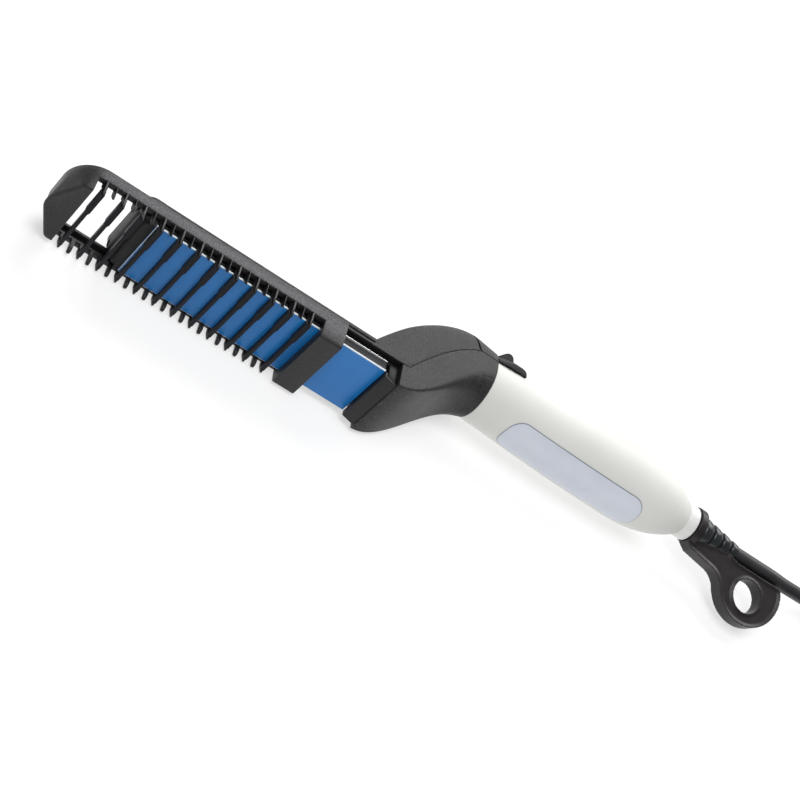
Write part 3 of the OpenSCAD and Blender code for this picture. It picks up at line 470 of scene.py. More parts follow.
def pick_none():
    if bpy.context.object and bpy.context.object.mode != "OBJECT":
        bpy.ops.object.mode_set(mode="OBJECT")
    bpy.ops.object.select_all(action="DESELECT")


def hold(piece):
    """Makes a piece the only one in hand."""
    pick_none()
    piece.select_set(True)
    bpy.context.view_layer.objects.active = piece


def start_ring(name, points):
    """A piece begins as a circle whose corners are moved to the first outline."""
    pick_none()
    bpy.ops.mesh.primitive_circle_add(vertices=len(points), radius=0.01, fill_type="NOTHING")
    piece = bpy.context.object
    piece.name = piece.data.name = name
    for corner, point in zip(piece.data.vertices, points):
        corner.co = spot(*point)
    return piece


def follow(piece, rings):
    """Extrudes the open end of a piece from outline to outline, in edit mode."""
    last = [corner.index for corner in piece.data.vertices]
    bpy.ops.object.mode_set(mode="EDIT")
    bpy.ops.mesh.select_all(action="SELECT")
    for ring in rings:
        bpy.ops.mesh.extrude_region_move()
        mesh = bmesh.from_edit_mesh(piece.data)
        mesh.verts.ensure_lookup_table()
        step = []
        for index, point in zip(last, ring):
            old = mesh.verts[index]
            new = next(e.other_vert(old) for e in old.link_edges if e.other_vert(old).select)
            step.append((new, point))
        for new, point in step:
            new.co = spot(*point)
        mesh.verts.index_update()
        last = [new.index for new, _ in step]
        bmesh.update_edit_mesh(piece.data)
    return last


def pick_corners(piece, indices):
    """Selects the corners with these numbers and nothing else, in edit mode."""
    bpy.ops.mesh.select_all(action="DESELECT")
    mesh = bmesh.from_edit_mesh(piece.data)
    mesh.verts.ensure_lookup_table()
    for index in indices:
        mesh.verts[index].select = True
    return mesh


def lofted(name, rings, ring_shut=False):
    """A closed piece drawn through a row of outlines; ring_shut joins the last to the first."""
    piece = start_ring(name, rings[0])
    hold(piece)
    last = follow(piece, rings[1:])
    first = list(range(len(rings[0])))
    if ring_shut:
        for edge in pick_corners(piece, first + last).edges:
            edge.select = all(v.select for v in edge.verts) and len(edge.link_faces) == 1
        bmesh.update_edit_mesh(piece.data)
        bpy.ops.mesh.bridge_edge_loops()
    else:
        for end in (first, last):
            pick_corners(piece, end).select_flush(True)
            bmesh.update_edit_mesh(piece.data)
            bpy.ops.mesh.edge_face_add()
    bpy.ops.mesh.select_all(action="SELECT")
    bpy.ops.mesh.remove_doubles(threshold=0.000002)
    bpy.ops.mesh.normals_make_consistent(inside=False)
    bpy.ops.object.mode_set(mode="OBJECT")
    return piece


def use(piece, kind, **settings):
    """Adds a modifier, sets it and applies it."""
    hold(piece)
    modifier = piece.modifiers.new(kind.lower(), kind)
    for key, value in settings.items():
        setattr(modifier, key, value)
    bpy.ops.object.modifier_apply(modifier=modifier.name)
    return piece


def round_edges(piece, width, segments=2, angle=35):
    """Breaks the sharp edges by a width in millimetres, then shades the piece smooth."""
    limits = {"limit_method": "ANGLE", "angle_limit": radians(angle)}
    use(piece, "BEVEL", width=width * MM, segments=segments, **limits)
    return smooth(piece)


def smooth(piece, angle=38):
    hold(piece)
    bpy.ops.object.shade_smooth_by_angle(angle=radians(angle))
    return piece


def cut(piece, tool):
    """Takes a cutter out of a piece, and the cutter off the bench."""
    use(piece, "BOOLEAN", operation="DIFFERENCE", object=tool, solver="EXACT")
    bpy.data.objects.remove(tool)
    return piece


def joined(name, parts):
    """Several parts as one piece."""
    pick_none()
    for part in parts:
        part.select_set(True)
    bpy.context.view_layer.objects.active = parts[0]
    bpy.ops.object.join()
    parts[0].name = parts[0].data.name = name
    return parts[0]


def copied(piece, dx=None):
    """A copy with its own mesh, moved along the head by dx, or mirrored across it."""
    hold(piece)
    bpy.ops.object.duplicate()
    bpy.ops.object.mode_set(mode="EDIT")
    bpy.ops.mesh.select_all(action="SELECT")
    if dx is None:
        bpy.ops.transform.resize(value=(1.0, 1.0, -1.0), center_override=(0.0, 0.0, head_y))
        bpy.ops.mesh.normals_make_consistent(inside=False)
    else:
        bpy.ops.transform.translate(value=(dx * MM, 0.0, 0.0))
    bpy.ops.object.mode_set(mode="OBJECT")
    return bpy.context.object


def mirrored(half):
    """An outline from one half of it and the same half on the other side."""
    return half + [(-u, v) for u, v in reversed(half)]


def along(section, *places):
    """Outlines of a (y, z) section at places along the head."""
    return [[(x, y, z) for y, z in section] for x in places]


def across(outline, *places):
    """Outlines of an (x, z) shape at places across the head."""
    return [[(x, y, z) for x, z in outline] for y in places]


def upright(outline, *places):
    """Outlines of an (x, y) shape at places off the plate."""
    return [[(x, y, z) for x, y in outline] for z in places]


def block(u0, v0, u1, v1):
    return [(u0, v0), (u1, v0), (u1, v1), (u0, v1)]


def arc(cx, cy, r, a0, a1, count, ry=None):
    turns = [radians(a0 + (a1 - a0) * k / count) for k in range(count + 1)]
    return [(cx + r * cos(a), cy + (ry or r) * sin(a)) for a in turns]


def circle(cx, cy, r, count):
    return arc(cx, cy, r, 0, 360, count)[:-1]


def turned(name, profile, count=96, ring_shut=False):
    """A piece turned about the handle axis from (x, radius) stations."""
    hoops = [along(circle(0.0, axis_z, radius, count), x)[0] for x, radius in profile]
    return lofted(name, hoops, ring_shut)


def mix(a, b, u):
    return a + (b - a) * u


def ease(u):
    u = min(1.0, max(0.0, u))
    return u * u * (3 - 2 * u)


def ease_out(u, power):
    u = min(1.0, max(0.0, u))
    return 1 - (1 - u) ** power


# ---- comb attachment

TOOTH_STEP = 4.0
TOOTH_COUNT = 23
TOOTH_TOP = 3.7
WALL_OUT = 17.4
WALL_IN = 16.2
WALL_FRONT = -2.5
WALL_BACK = -8.2
TIP_X = -14.4
TIP_IN = -3.4
TIP_R = 13.0  # of the two discs that round the tip
DISC_X = TIP_X + 14.7
BRIDGE_LEN = 9.5
LIP_FRONT, LIP_BACK = -5.6, -6.7
LIP_X = TIP_X + 9.0
comb_end = reach("comb_frame")[1].x


def around_discs(discs, shrink):
    """Outermost points of a few discs (x, y, r), seen from the front of the tip."""
    out = []
    for k in range(46):
        a = radians(90 + 4 * k)
        nx, ny = cos(a), sin(a)
        x, y, r = max(discs, key=lambda d: d[0] * nx + d[1] * ny + d[2])
        out.append((x + (r - shrink) * nx, y + (r - shrink) * ny))
    return out


def tip_ring(z, rise, shrink, share=1.0):
    """One level of the tip, from the plan of the walls to the narrower lip."""
    wall = around_discs([(DISC_X, 4.4, TIP_R), (DISC_X, -4.4, TIP_R)], shrink)
    lip = [(TIP_X + 7.2, 0.0, 7.0), (LIP_X, 13.6, 2.0), (LIP_X, -13.6, 2.0)]
    lip = around_discs(lip, shrink)
    ring = [(mix(w[0], n[0], rise), mix(w[1], n[1], rise)) for w, n in zip(wall, lip)]
    crossing = ring[0][1]
    for a, b in zip(ring, ring[1:]):
        if a[0] >= TIP_IN > b[0]:
            crossing = mix(a[1], b[1], (a[0] - TIP_IN) / (a[0] - b[0]))
    ring = [(x, y) if x < TIP_IN else (TIP_IN, copysign(crossing, y)) for x, y in ring]
    ring = [(TIP_IN, crossing)] + ring + [(TIP_IN, -crossing)]
    centre = TIP_X + 7.6
    return [(mix(centre, x, share), y * share, z) for x, y in ring]


def make_tip():
    """The solid tip: it rises from the walls to a narrower lip, with a shallow scoop in its face."""
    rings = [tip_ring(WALL_BACK, 0.0, 0.5), tip_ring(WALL_BACK + 0.5, 0.0, 0.0)]
    climb = [(-2.6, 0.0), (-1.6, 0.03), (-0.6, 0.1), (0.6, 0.23), (1.8, 0.4), (3.0, 0.57)]
    for up, rise in climb + [(4.2, 0.74), (5.2, 0.88)]:
        rings.append(tip_ring(WALL_FRONT + up, rise, 0.0))
    for down, rise, shrink in ((0.4, 0.96, 0.08), (0.1, 1.0, 0.3), (0.0, 1.0, 0.75)):
        rings.append(tip_ring(TOOTH_TOP - down, rise, shrink))
    for share, depth in ((0.95, 0.0), (0.88, 0.14), (0.7, 0.42), (0.45, 0.6), (0.2, 0.66)):
        rings.append(tip_ring(TOOTH_TOP - depth, 1.0, 0.75, share))
    return lofted("comb_tip", rings)


def make_rail():
    """A side wall that follows the tip's corner: a ledge for the teeth, a lip for the guide slot."""
    lip_in, ledge = plate_half - 0.6, plate_half + 0.55
    front, back = WALL_FRONT - 0.02, WALL_BACK + 0.02
    rings = []
    for x in [TIP_IN + step for step in (-0.5, 0.4, 1.2, 2.0, 2.9, 3.7)] + [comb_end - 0.05]:
        lean = min(0.0, x - DISC_X)
        out = 4.38 + sqrt(TIP_R**2 - lean * lean)
        section = [
            (out, WALL_BACK + 0.62), (out, front), (ledge, front), (ledge, WALL_FRONT - 0.8),
            (WALL_IN, WALL_FRONT - 1.1), (WALL_IN, LIP_FRONT), (lip_in, LIP_FRONT),
            (lip_in, LIP_BACK), (WALL_IN, LIP_BACK), (WALL_IN, back), (out - 0.45, back),
        ]
        rings += along(section, x)
    return round_edges(lofted("comb_rail", rings), 0.14, 2, 40)


def make_bridge():
    """The block that spans the plate at the neck end of the comb."""
    cheek, foot, top = plate_half + 0.4, WALL_FRONT - 0.5, 5.0
    outside = [(0.0, foot), (0.0, WALL_FRONT + 1.5), (1.0, top - 0.8), (1.8, top)]
    outside = mirrored([(WALL_OUT - inset, z) for inset, z in outside])
    section = outside + mirrored([(-cheek, foot), (-cheek, 0.4)])
    return lofted("comb_bridge", along(section, comb_end - BRIDGE_LEN, comb_end))


def make_comb_frame():
    """Tip, side walls and bridge in one moulding, its edges broken."""
    upper = make_rail()
    lower = copied(upper)
    bridge = round_edges(make_bridge(), 0.3, 3, 25)
    moulding = joined("comb_moulding", [smooth(make_tip(), 82), upper, lower, bridge])
    return ship(moulding, "comb", "comb_plastic", "comb_frame")


def repeated(first, start):
    """Copies of a piece at every second tooth from start on."""
    return [copied(first, dx=k * TOOTH_STEP) for k in range(start, TOOTH_COUNT, 2)]


def make_ribs():
    """One cross rib, thicker over its upper half, copied over every second tooth."""
    half, step = plate_half + 1.3, 4.6
    outline = [
        (-0.7, -half), (0.7, -half), (0.7, step - 0.9), (1.1, step + 0.2), (1.1, half),
        (-1.1, half), (-1.1, step + 0.2), (-0.7, step - 0.9),
    ]
    first = round_edges(lofted("rib", upright(outline, 0.4, 3.2)), 0.28, 3, 40)
    row = smooth(joined("comb_rib_row", [first] + repeated(first, 2)))
    return ship(row, "comb", "comb_plastic", "comb_ribs", look="rib_shade_and_blue_reflection")


def tooth_rings(half, slices, pointed):
    """Slices (y, top, share of the half width) of a tooth, from outer edge to inner face."""
    foot = WALL_FRONT - 0.2
    rings = []
    for y, top, share in slices:
        h = half * share
        if pointed:
            peak = [(h, mix(WALL_FRONT, top, 0.5)), (mix(h, 0.3, 0.8), top - 0.7)]
            peak += [(0.3, top - 0.12), (0.1, top)]
        else:
            peak = [(h, top - 0.6), (h * 0.86, top - 0.25), (h * 0.5, top - 0.05), (h * 0.2, top)]
        rings += across([(-h, foot), (h, foot)] + mirrored(peak), y)
    return rings


def tooth_row(name, slices):
    """A pointed and a blunt tooth, copied in turn along one edge."""
    sharp = round_edges(lofted("tooth_pointed", tooth_rings(1.2, slices, True)), 0.06, 2, 40)
    blunt = round_edges(lofted("tooth_blunt", tooth_rings(0.75, slices, False)), 0.06, 2, 40)
    row = [sharp] + repeated(sharp, 2) + repeated(blunt, 1)
    bpy.data.objects.remove(blunt)
    return smooth(joined(name, row))


def make_teeth():
    """Two rows of teeth: knife-edged fins above, full cones below."""
    fins = [
        (17.3, -1.6, 0.16), (17.15, 1.2, 0.17), (16.8, 2.9, 0.2), (16.4, 3.5, 0.34),
        (15.7, 2.8, 0.7), (15.1, 1.6, 0.95), (14.6, 0.5, 1.0),
    ]
    cones = [
        (17.3, -1.0, 0.62), (17.1, 1.8, 0.78), (16.8, 3.3, 0.9), (16.3, TOOTH_TOP, 0.98),
        (15.6, 3.5, 1.0), (15.0, 2.8, 1.0), (14.6, 1.8, 0.96),
    ]
    ship(tooth_row("comb_teeth_upper", fins), "comb", "comb_plastic", "comb_teeth")
    there = tooth_row("comb_teeth_lower", cones)
    lower = copied(there)
    bpy.data.objects.remove(there)
    lower.name = lower.data.name = "comb_teeth_lower"
    ship(smooth(lower), "comb", "comb_plastic")


# ---- heating body


def make_plate():
    """The enamelled plate, and the raw edges that its coating stops short of, coloured near-white as a
    painted highlight.
    """
    bare, under = plate_half - 0.4, plate_half - 1.2
    section = [
        (-under, plate_from.z), (under, plate_from.z), (under, -0.65), (bare, -0.65), (bare, -0.12),
        (bare - 0.1, 0.0), (-bare + 0.1, 0.0), (-bare, -0.12), (-bare, -0.65), (-under, -0.65),
    ]
    plate = lofted("heating_sheet", along(section, plate_x0, plate_x1))
    ship(round_edges(plate, 0.05, 2, 25), "root", "plate_enamel", "heating_plate")
    edge = [
        (bare + 0.01, -0.62), (plate_half - 0.05, -0.62), (plate_half, -0.5),
        (plate_half - 0.06, -0.26), (plate_half - 0.22, -0.08), (bare + 0.01, -0.02),
    ]
    upper = lofted("plate_edge", along(edge, plate_x0, plate_x1))
    end = [(0.02, -0.5), (0.02, -0.06), (0.12, 0.03), (0.4, 0.03), (0.45, -0.5)]
    end = across([(plate_x0 + x, z) for x, z in end], 0.3 - bare, bare - 0.3)
    edges = [upper, copied(upper), lofted("plate_end", end)]
    # the raw edges take the painted highlight colour
    ship(smooth(joined("plate_edges", edges), 30), "root", "bare_aluminium", look="raw_edge_painted_highlight")


def make_carrier():
    """The drawn carrier: a bright foot along each side, and above it a dark strip lining the recess as
    painted shade.
    """
    low, top = (place.z for place in reach("plate_carrier"))
    body = plate_half - 1.0
    half = [
        (plate_half, low), (plate_half, low + 0.4), (plate_half - 0.2, low + 0.6),
        (body, low + 0.7), (body, top - 0.3), (body + 0.3, top - 0.12), (body + 0.3, top),
        (11.0, top), (11.0, low + 1.0),
    ]
    carrier = lofted("carrier_rail", along(mirrored(half), plate_x0, plate_x1))
    ship(round_edges(carrier, 0.08, 2, 40), "root", "bare_aluminium", "plate_carrier")
    # painted shade: a thin dark strip that lines the recess above the foot, on both sides
    recess_shade_outline = [
        (-0.1, low + 0.72), (0.3, low + 0.72), (0.42, low + 1.3), (0.3, low + 1.9),
        (0.45, low + 2.6), (0.5, top + 0.2), (0.62, top + 0.56), (-0.1, top + 0.56),
    ]
    upper = lofted("carrier_recess_shade", along([(body + y, z) for y, z in recess_shade_outline], plate_x0, plate_x1))
    recess_shade_pair = joined("carrier_recess_shades", [upper, copied(upper)])
    ship(smooth(recess_shade_pair, 60), "root", "bare_aluminium", look="carrier_recess_shade")


def nose_ring(z, half, set_back, corner):
    """Outline of the nose in plan at one level: a flat front with round corners."""
    x0 = reach("nose_cap")[0].x + set_back
    out = [(plate_x0, -half)]
    out += arc(x0 + corner, -half + corner, corner, 270, 180, 9)
    out += arc(x0 + corner, half - corner, corner, 180, 90, 9)
    return [(x, y, z) for x, y in out + [(plate_x0, half)]]


def make_nose():
    """The nose of the heating body: an arm end, a waist at the guide slot, a slope to the plate."""
    low = reach("nose_cap")[0].z
    levels = [
        (low, 14.7, 1.2, 4.4), (low + 0.4, 15.5, 0.35, 4.8), (low + 1.2, 15.9, 0.0, 5.0),
        (-7.6, 15.9, 0.5, 5.0), (-7.1, 15.6, 0.35, 4.8), (-7.0, 12.6, 0.35, 4.6),
        (-5.3, 12.6, 0.55, 4.6), (-5.2, 13.9, 0.58, 4.8), (-4.9, 14.2, 0.62, 4.8),
        (-3.9, 14.1, 0.95, 4.8), (-2.8, 13.9, 1.5, 4.6), (-1.8, 13.7, 2.2, 4.2),
        (-1.0, 13.4, 3.1, 3.6), (-0.5, 13.2, 4.1, 2.8), (-0.3, 12.9, 5.2, 2.0),
    ]
    nose = lofted("nose_moulding", [nose_ring(*level) for level in levels])
    return ship(smooth(nose, 50), "root", "neck_plastic", "nose_cap", look="nose_black")


SCREW_R = 2.6
HOLE_R = 2.75


def disc(x, radius, z):
    """A circle in plan about the axis of a screw at x."""
    return upright(circle(x, 0.0, radius, 36), z)[0]


def make_screws():
    """A pan head with a cross recess, made once and copied to the second hole."""
    low, high = reach("arm_screws")
    x = low.x + SCREW_R
    stations = [
        (1.7, low.z), (2.3, low.z + 0.12), (SCREW_R, low.z + 0.45), (SCREW_R, low.z + 1.5),
        (1.4, low.z + 1.6), (1.4, high.z - 0.3), (1.1, high.z),
    ]
    screw = lofted("screw", [disc(x, radius, z) for radius, z in stations])
    for wide, deep in ((1.6, 0.3), (0.3, 1.6)):
        recess = block(x - wide, -deep, x + wide, deep)
        cut(screw, lofted("recess", upright(recess, low.z - 0.3, low.z + 0.75)))
    twin = copied(screw, dx=high.x - low.x - 2 * SCREW_R)
    return ship(smooth(joined("arm_screw_pair", [screw, twin])), "root", "screw_steel", "arm_screws")


# ---- root of the plate and neck

ARM_TOP = -7.0
ARM_BACK = -11.5
HEEL = reach("neck_front")[1].z
ARM_HALF = 15.9
COLLAR_R = 13.65
COLLAR_BACK = 15.6
SEAM_GAP = 0.15
SEAM_RUN = 33.0
SIDE_STEPS = 6
HAIR = 0.001  # keeps two corners of an outline apart
FLARE = 12.8
flare_x = mouth_x - FLARE
seam_x = mouth_x + 3.0
front_end = collar_x - 2.5
back_end = collar_x - 9.7


def make_root():
    """The bezel between plate and heel, and the smoked block behind it."""
    low, high = reach("plate_bezel")
    x0, x1 = low.x, high.x
    lip = [
        (x0, 0.1), (x0 + 0.9, 0.1), (x0 + 0.9, 1.6), (x1, 3.2), (x1, 4.1), (x0 + 0.8, 2.62),
        (x0 + 0.25, 2.45), (x0, 2.1),
    ]
    bezel = lofted("root_bezel", across(lip, -high.y, high.y))
    ship(round_edges(bezel, 0.16, 3, 30), "root", "bezel_plastic", "plate_bezel")
    low, high = reach("root_insulator")
    outline = [(low.x, low.z), (high.x, low.z), (high.x, high.z), (low.x, high.z - 1.6)]
    insulator = round_edges(lofted("root_block", across(outline, low.y, high.y)), 0.7, 4, 30)
    ship(insulator, "root", "insulator_white", "root_insulator", look="insulator_smoked")


def front_z(x):
    return mix(HEEL, axis_z + COLLAR_R, ease((x - mouth_x) / (front_end - mouth_x)))


def back_z(x):
    run = ease_out((x - flare_x) / (back_end - flare_x), 1.6)
    return mix(ARM_BACK, axis_z - COLLAR_BACK, run)


def half_width(x):
    return mix(ARM_HALF, COLLAR_R, ease((x - mouth_x) / (collar_x - mouth_x)))


def seam_line(x):
    return mix(ARM_TOP, axis_z - 4.0, ease_out((x - seam_x) / SEAM_RUN, 1.45))


def neck_corners(x):
    """Half width, levels and corner sizes of the neck at x."""
    u = min(1.0, max(0.0, (x - mouth_x) / (collar_x - mouth_x)))
    top, low, wide = front_z(x), back_z(x), half_width(x)
    middle = mix((top + low) / 2, axis_z, u * u)
    front = mix(0.05, 0.999, u**3.0)
    back = mix(0.16, 0.85, u)
    return wide, top, low, front * wide, front * (top - middle), back * wide, back * (middle - low)


def corner_to_face(wide, face, corner_y, corner_z, way, first=0.0):
    """A round corner from angle first on, and the flat of the front (way 1) or back (way -1)."""
    foot = face - way * corner_z
    turn = arc(wide - corner_y, foot, corner_y, first, 90, 12, corner_z)
    flat = [(mix(wide - corner_y, 0.0, k / 4), face) for k in (1, 2, 3)]
    return [(y, foot + way * (z - foot)) for y, z in turn] + flat


def half_outline(x, start_z, way):
    """One side of the neck, from the seam round to the middle of the front or back face."""
    wide, top, low, front_y, front_rise, back_y, back_rise = neck_corners(x)
    face, corner_y, corner_z = (top, front_y, front_rise) if way > 0 else (low, back_y, back_rise)
    foot = face - way * corner_z
    if way * (foot - start_z) > 0:
        first = 0.0
        side = []
        for k in range(SIDE_STEPS):
            z = mix(start_z, foot, k / SIDE_STEPS)
            tuck = max(0.0, low + back_rise - z) / back_rise
            side.append((wide - back_y + back_y * sqrt(max(0.0, 1 - tuck**2)), z))
    else:
        first = degrees(asin(min(1.0, way * (start_z - foot) / corner_z)))
        y = wide - corner_y + corner_y * cos(radians(first))
        rise = corner_z * sin(radians(first))
        side = [(y, foot + way * (rise - HAIR * k)) for k in range(SIDE_STEPS, 0, -1)]
    return side + corner_to_face(wide, face, corner_y, corner_z, way, first)


def shell_ring(x, half):
    """A whole outline from one side of it, shut by a straight seam face."""
    return along(half + [(0.0, half[-1][1])] + [(-y, z) for y, z in reversed(half)], x)[0]


def make_neck_front():
    """The front shell, from the heel at the mouth to the round collar at the handle."""
    stations = [mix(mouth_x, collar_x, k / 40) for k in range(41)]
    rings = [shell_ring(x, half_outline(x, seam_line(x) + SEAM_GAP, 1)) for x in stations]
    shell = round_edges(lofted("neck_front_shell", rings), 0.18, 2, 50)
    return ship(smooth(shell, 42), "root", "neck_plastic", "neck_front")


def joint_x(z, gap):
    """Where the back shell ends at a level, along the slanted joint before the tab."""
    return collar_x - 8.9 + gap + 0.45 * (z - (axis_z - 2.0))


def back_outline(x):
    return half_outline(x, seam_line(x) - SEAM_GAP, -1)


def back_rings(x_at, steps):
    """Outlines of the back shell whose corners sit at x_at(share, z)."""
    rings = []
    for share in [k / steps for k in range(steps + 1)]:
        half = []
        for index, (_, z) in enumerate(back_outline(x_at(share, axis_z - 8.0))):
            x = x_at(share, z)
            half.append((x, *back_outline(x)[index]))
        x, _, z = half[-1]
        rings.append(half + [(x, 0.0, z)] + [(x, -y, z) for x, y, z in reversed(half)])
    return rings


def make_neck_back():
    """The back shell: the flare under the arm's end, the hump of the crank, the slanted end."""
    flare = []
    for x in [plate_x0, flare_x - 2.0] + [mix(flare_x, mouth_x, k / 6) for k in range(6)]:
        r = mix(1.5, 2.5, max(0.0, (x - flare_x) / FLARE))
        groove = ARM_HALF - (0.8 if x < flare_x - 0.2 else 0.0)
        half = [
            (ARM_HALF - 0.02, ARM_TOP - 0.02), (ARM_HALF, -7.3), (ARM_HALF, -8.0),
            (groove, -8.15), (groove, -8.95), (ARM_HALF, -9.1),
        ]
        flare.append(shell_ring(x, half + corner_to_face(ARM_HALF, back_z(x), r, r, -1)))

    def shell_x(share, z):
        return mix(mouth_x + 0.01, joint_x(z, -0.2), share)

    def tab_x(share, z):
        return mix(joint_x(z, 1.0), collar_x, share)

    shell = lofted("neck_back_shell", flare + back_rings(shell_x, 34))
    low, high = reach("arm_screws")
    for x in (low.x + SCREW_R, high.x - SCREW_R):
        hole = [disc(x, HOLE_R, z) for z in (ARM_BACK - 1.0, ARM_BACK + 2.2)]
        cut(shell, lofted("hole", hole))
    round_edges(shell, 0.18, 2, 50)
    ship(smooth(shell, 42), "root", "neck_plastic", "neck_back")
    tab = round_edges(lofted("neck_tab_shell", back_rings(tab_x, 10)), 0.15, 2, 50)
    ship(smooth(tab, 42), "root", "neck_plastic", "neck_tab")


def make_web():
    """The narrow web between carrier and arm, which leaves a guide slot along each side, and in each
    slot a thin black sheet on the arm's face, painted shade that makes the slot read deep.
    """
    web, end = plate_half - 1.6, mouth_x - 0.05
    section = along(mirrored([(web, -5.32), (web, ARM_TOP - 0.1)]), plate_x0, end)
    ship(lofted("guide_web", section), "root", "neck_plastic", look="nose_black")
    # painted shade: a black sheet, 0.06 mm thick, lies on the arm's face inside each guide slot
    slot_shade_outline = [
        (web, ARM_TOP + 0.01), (web, ARM_TOP + 0.07), (ARM_HALF - 0.55, ARM_TOP + 0.07),
        (ARM_HALF - 0.4, ARM_TOP + 0.01),
    ]
    upper = lofted("slot_shade_sheet", along(slot_shade_outline, plate_x0 + 0.05, end))
    slot_shade_pair = joined("slot_shade_sheets", [upper, copied(upper)])
    ship(slot_shade_pair, "root", "neck_plastic", look="nose_black")


# ---- handle

HANDLE_R = 16.1
BUTT_R = 7.7
SADDLE_R = 16.2
KNOB_BED_R = 16.5
LABEL_WRAP = 32  # degrees from the middle of the label to its long edge
handle_len = butt_x - collar_x
swell = handle_len * 0.7016


def handle_radius(s):
    if s <= swell:
        return mix(COLLAR_R, HANDLE_R, sin(pi / 2 * s / swell))
    return mix(BUTT_R, HANDLE_R, 1 - ((s - swell) / (handle_len - swell)) ** 2.5)


def make_handle():
    """The white sleeve, turned: a long swell and a dome down to the butt, with its wall inside."""
    wall, floor = 2.2, handle_len - 3.4
    outer = [0.35] + [mix(0.8, swell, k / 26) for k in range(27)]
    outer += [mix(swell, handle_len, k / 26) for k in range(1, 26)] + [handle_len - 0.35]
    inner = [mix(handle_len - 5, swell, k / 8) for k in range(9)]
    inner += [mix(swell, 0.0, k / 10) for k in range(1, 11)]
    profile = [(0.0, COLLAR_R - 0.35), (0.12, COLLAR_R - 0.08)]
    profile += [(s, handle_radius(s)) for s in outer]
    profile += [(handle_len, BUTT_R + 0.1), (handle_len, 6.7), (floor, 6.7), (floor, 8.1)]
    profile += [(s, handle_radius(s) - wall) for s in inner]
    sleeve = turned("handle_shell", [(collar_x + s, r) for s, r in profile], 120, ring_shut=True)
    return ship(smooth(sleeve, 35), "root", "handle_white", "handle_sleeve")


def film_round(name, shrink, lift):
    """A film laid round the handle, shrink mm inside the label's outline, lift mm off the sleeve."""
    low, high = reach("handle_label")
    middle, half_len = (low.x + high.x) / 2, (high.x - low.x) / 2 - shrink
    half_w = HANDLE_R * sin(radians(LABEL_WRAP)) - shrink
    corner = half_w * 0.8
    pick_none()
    bpy.ops.mesh.primitive_grid_add(x_subdivisions=150, y_subdivisions=28, size=2.0, calc_uvs=True)
    film = bpy.context.object
    film.name = film.data.name = name
    for v in film.data.vertices:
        x = v.co.x * half_len
        over = max(0.0, abs(x) - (half_len - corner))
        y = v.co.y * (half_w - corner + sqrt(max(0.0, corner**2 - over**2)))
        r = handle_radius(middle + x - collar_x) + lift
        v.co = spot(middle + x, y, axis_z + sqrt(r * r - y * y))
    use(film, "SOLIDIFY", thickness=0.1 * MM, offset=1.0)
    return smooth(film, 40)


def make_label():
    """The bare sticker: a darker backing that shows as a thin line round the film on it."""
    backing = film_round("sticker_backing", 0.0, 0.02)
    ship(backing, "root", "label_film", "handle_label", look="label_backing")
    ship(film_round("sticker_film", 0.28, 0.12), "root", "label_film")


def make_butt():
    """The collar at the butt that the cord end turns in."""
    x0, x1 = (place.x for place in reach("butt_collar"))
    profile = [
        (x0, 6.25), (x0, BUTT_R - 0.35), (x0 + 0.15, BUTT_R - 0.08), (x0 + 0.4, BUTT_R),
        (x1 - 0.7, BUTT_R), (x1 - 0.3, BUTT_R - 0.1), (x1 - 0.06, BUTT_R - 0.35),
        (x1, BUTT_R - 0.6), (x1, 6.25),
    ]
    ring = turned("butt_ring", profile, ring_shut=True)
    return ship(smooth(ring, 40), "root", "collar_white", "butt_collar")


def make_saddle():
    """The saddle that wraps the back of the handle under the thumb knob."""
    x0, x1 = (place.x for place in reach("switch_saddle"))
    half, edge = COLLAR_R + 0.9, 4.15

    def ring(x, outer):
        side = min(half, sqrt(outer * outer - (edge + 0.9) ** 2))
        wrap = degrees(acos(side / outer))
        bend = mix(edge, outer * sin(radians(wrap)), 0.5)
        out = [(side, -edge), (side, -bend)]
        out += [(y, -z) for y, z in arc(0, 0, outer, wrap, 180 - wrap, 40)]
        out += [(-side, -bend), (-side, -edge)]
        inner_r = handle_radius(x - collar_x) + 0.02
        a = degrees(asin(edge / inner_r))
        out += [(y, -z) for y, z in arc(0, 0, inner_r, 180 - a, a, 40)]
        return [(x, y, axis_z + z) for y, z in out]

    front = [(0.0, 1.5), (2.0, 1.3), (5.0, 0.6), (8.5, 0.0)]
    end = [(2.4, 0.0), (1.7, 0.08), (1.2, 0.3), (0.95, 0.7)]
    rings = [ring(x0 + s, SADDLE_R - drop) for s, drop in front]
    rings += [ring(x1 - s, SADDLE_R - drop) for s, drop in end]
    saddle = round_edges(lofted("saddle_wrap", rings), 0.2, 2, 40)
    return ship(saddle, "root", "switch_plastic", "switch_saddle")


def make_knob():
    """The thumb knob: a hump with a long slope in front and a steep one behind."""
    low, high = reach("switch_knob")
    x0, x1, top = low.x, high.x, low.z
    hump = [
        (0.0, 7.0), (0.0, 6.2), (1.4, 5.0), (3.2, 2.9), (4.7, 1.2), (5.7, 0.4), (6.5, 0.05),
        (7.2, 0.0), (7.9, 0.3), (8.4, 1.0), (8.7, 2.0), (8.8, 3.2), (x1 - x0, 4.4), (x1 - x0, 7.0),
    ]
    knob = lofted("thumb_knob", across([(x0 + x, top + z) for x, z in hump], -high.y, high.y))
    cut(knob, turned("bed", [(x0 - 3, KNOB_BED_R), (x1 + 3, KNOB_BED_R)]))
    rounding = {"limit_method": "ANGLE", "angle_limit": radians(60)}
    use(knob, "BEVEL", width=0.9 * MM, segments=4, **rounding)
    smooth(knob, 40)
    foot = upright(block(x0 + 2.0, -2.2, x0 + 6.0, 2.2), axis_z - 17.5, high.z)
    knob = joined("thumb_knob", [knob, lofted("stem", foot)])
    return ship(knob, "switch", "switch_plastic", "switch_knob")


# ---- strain relief, loop, tie, plug


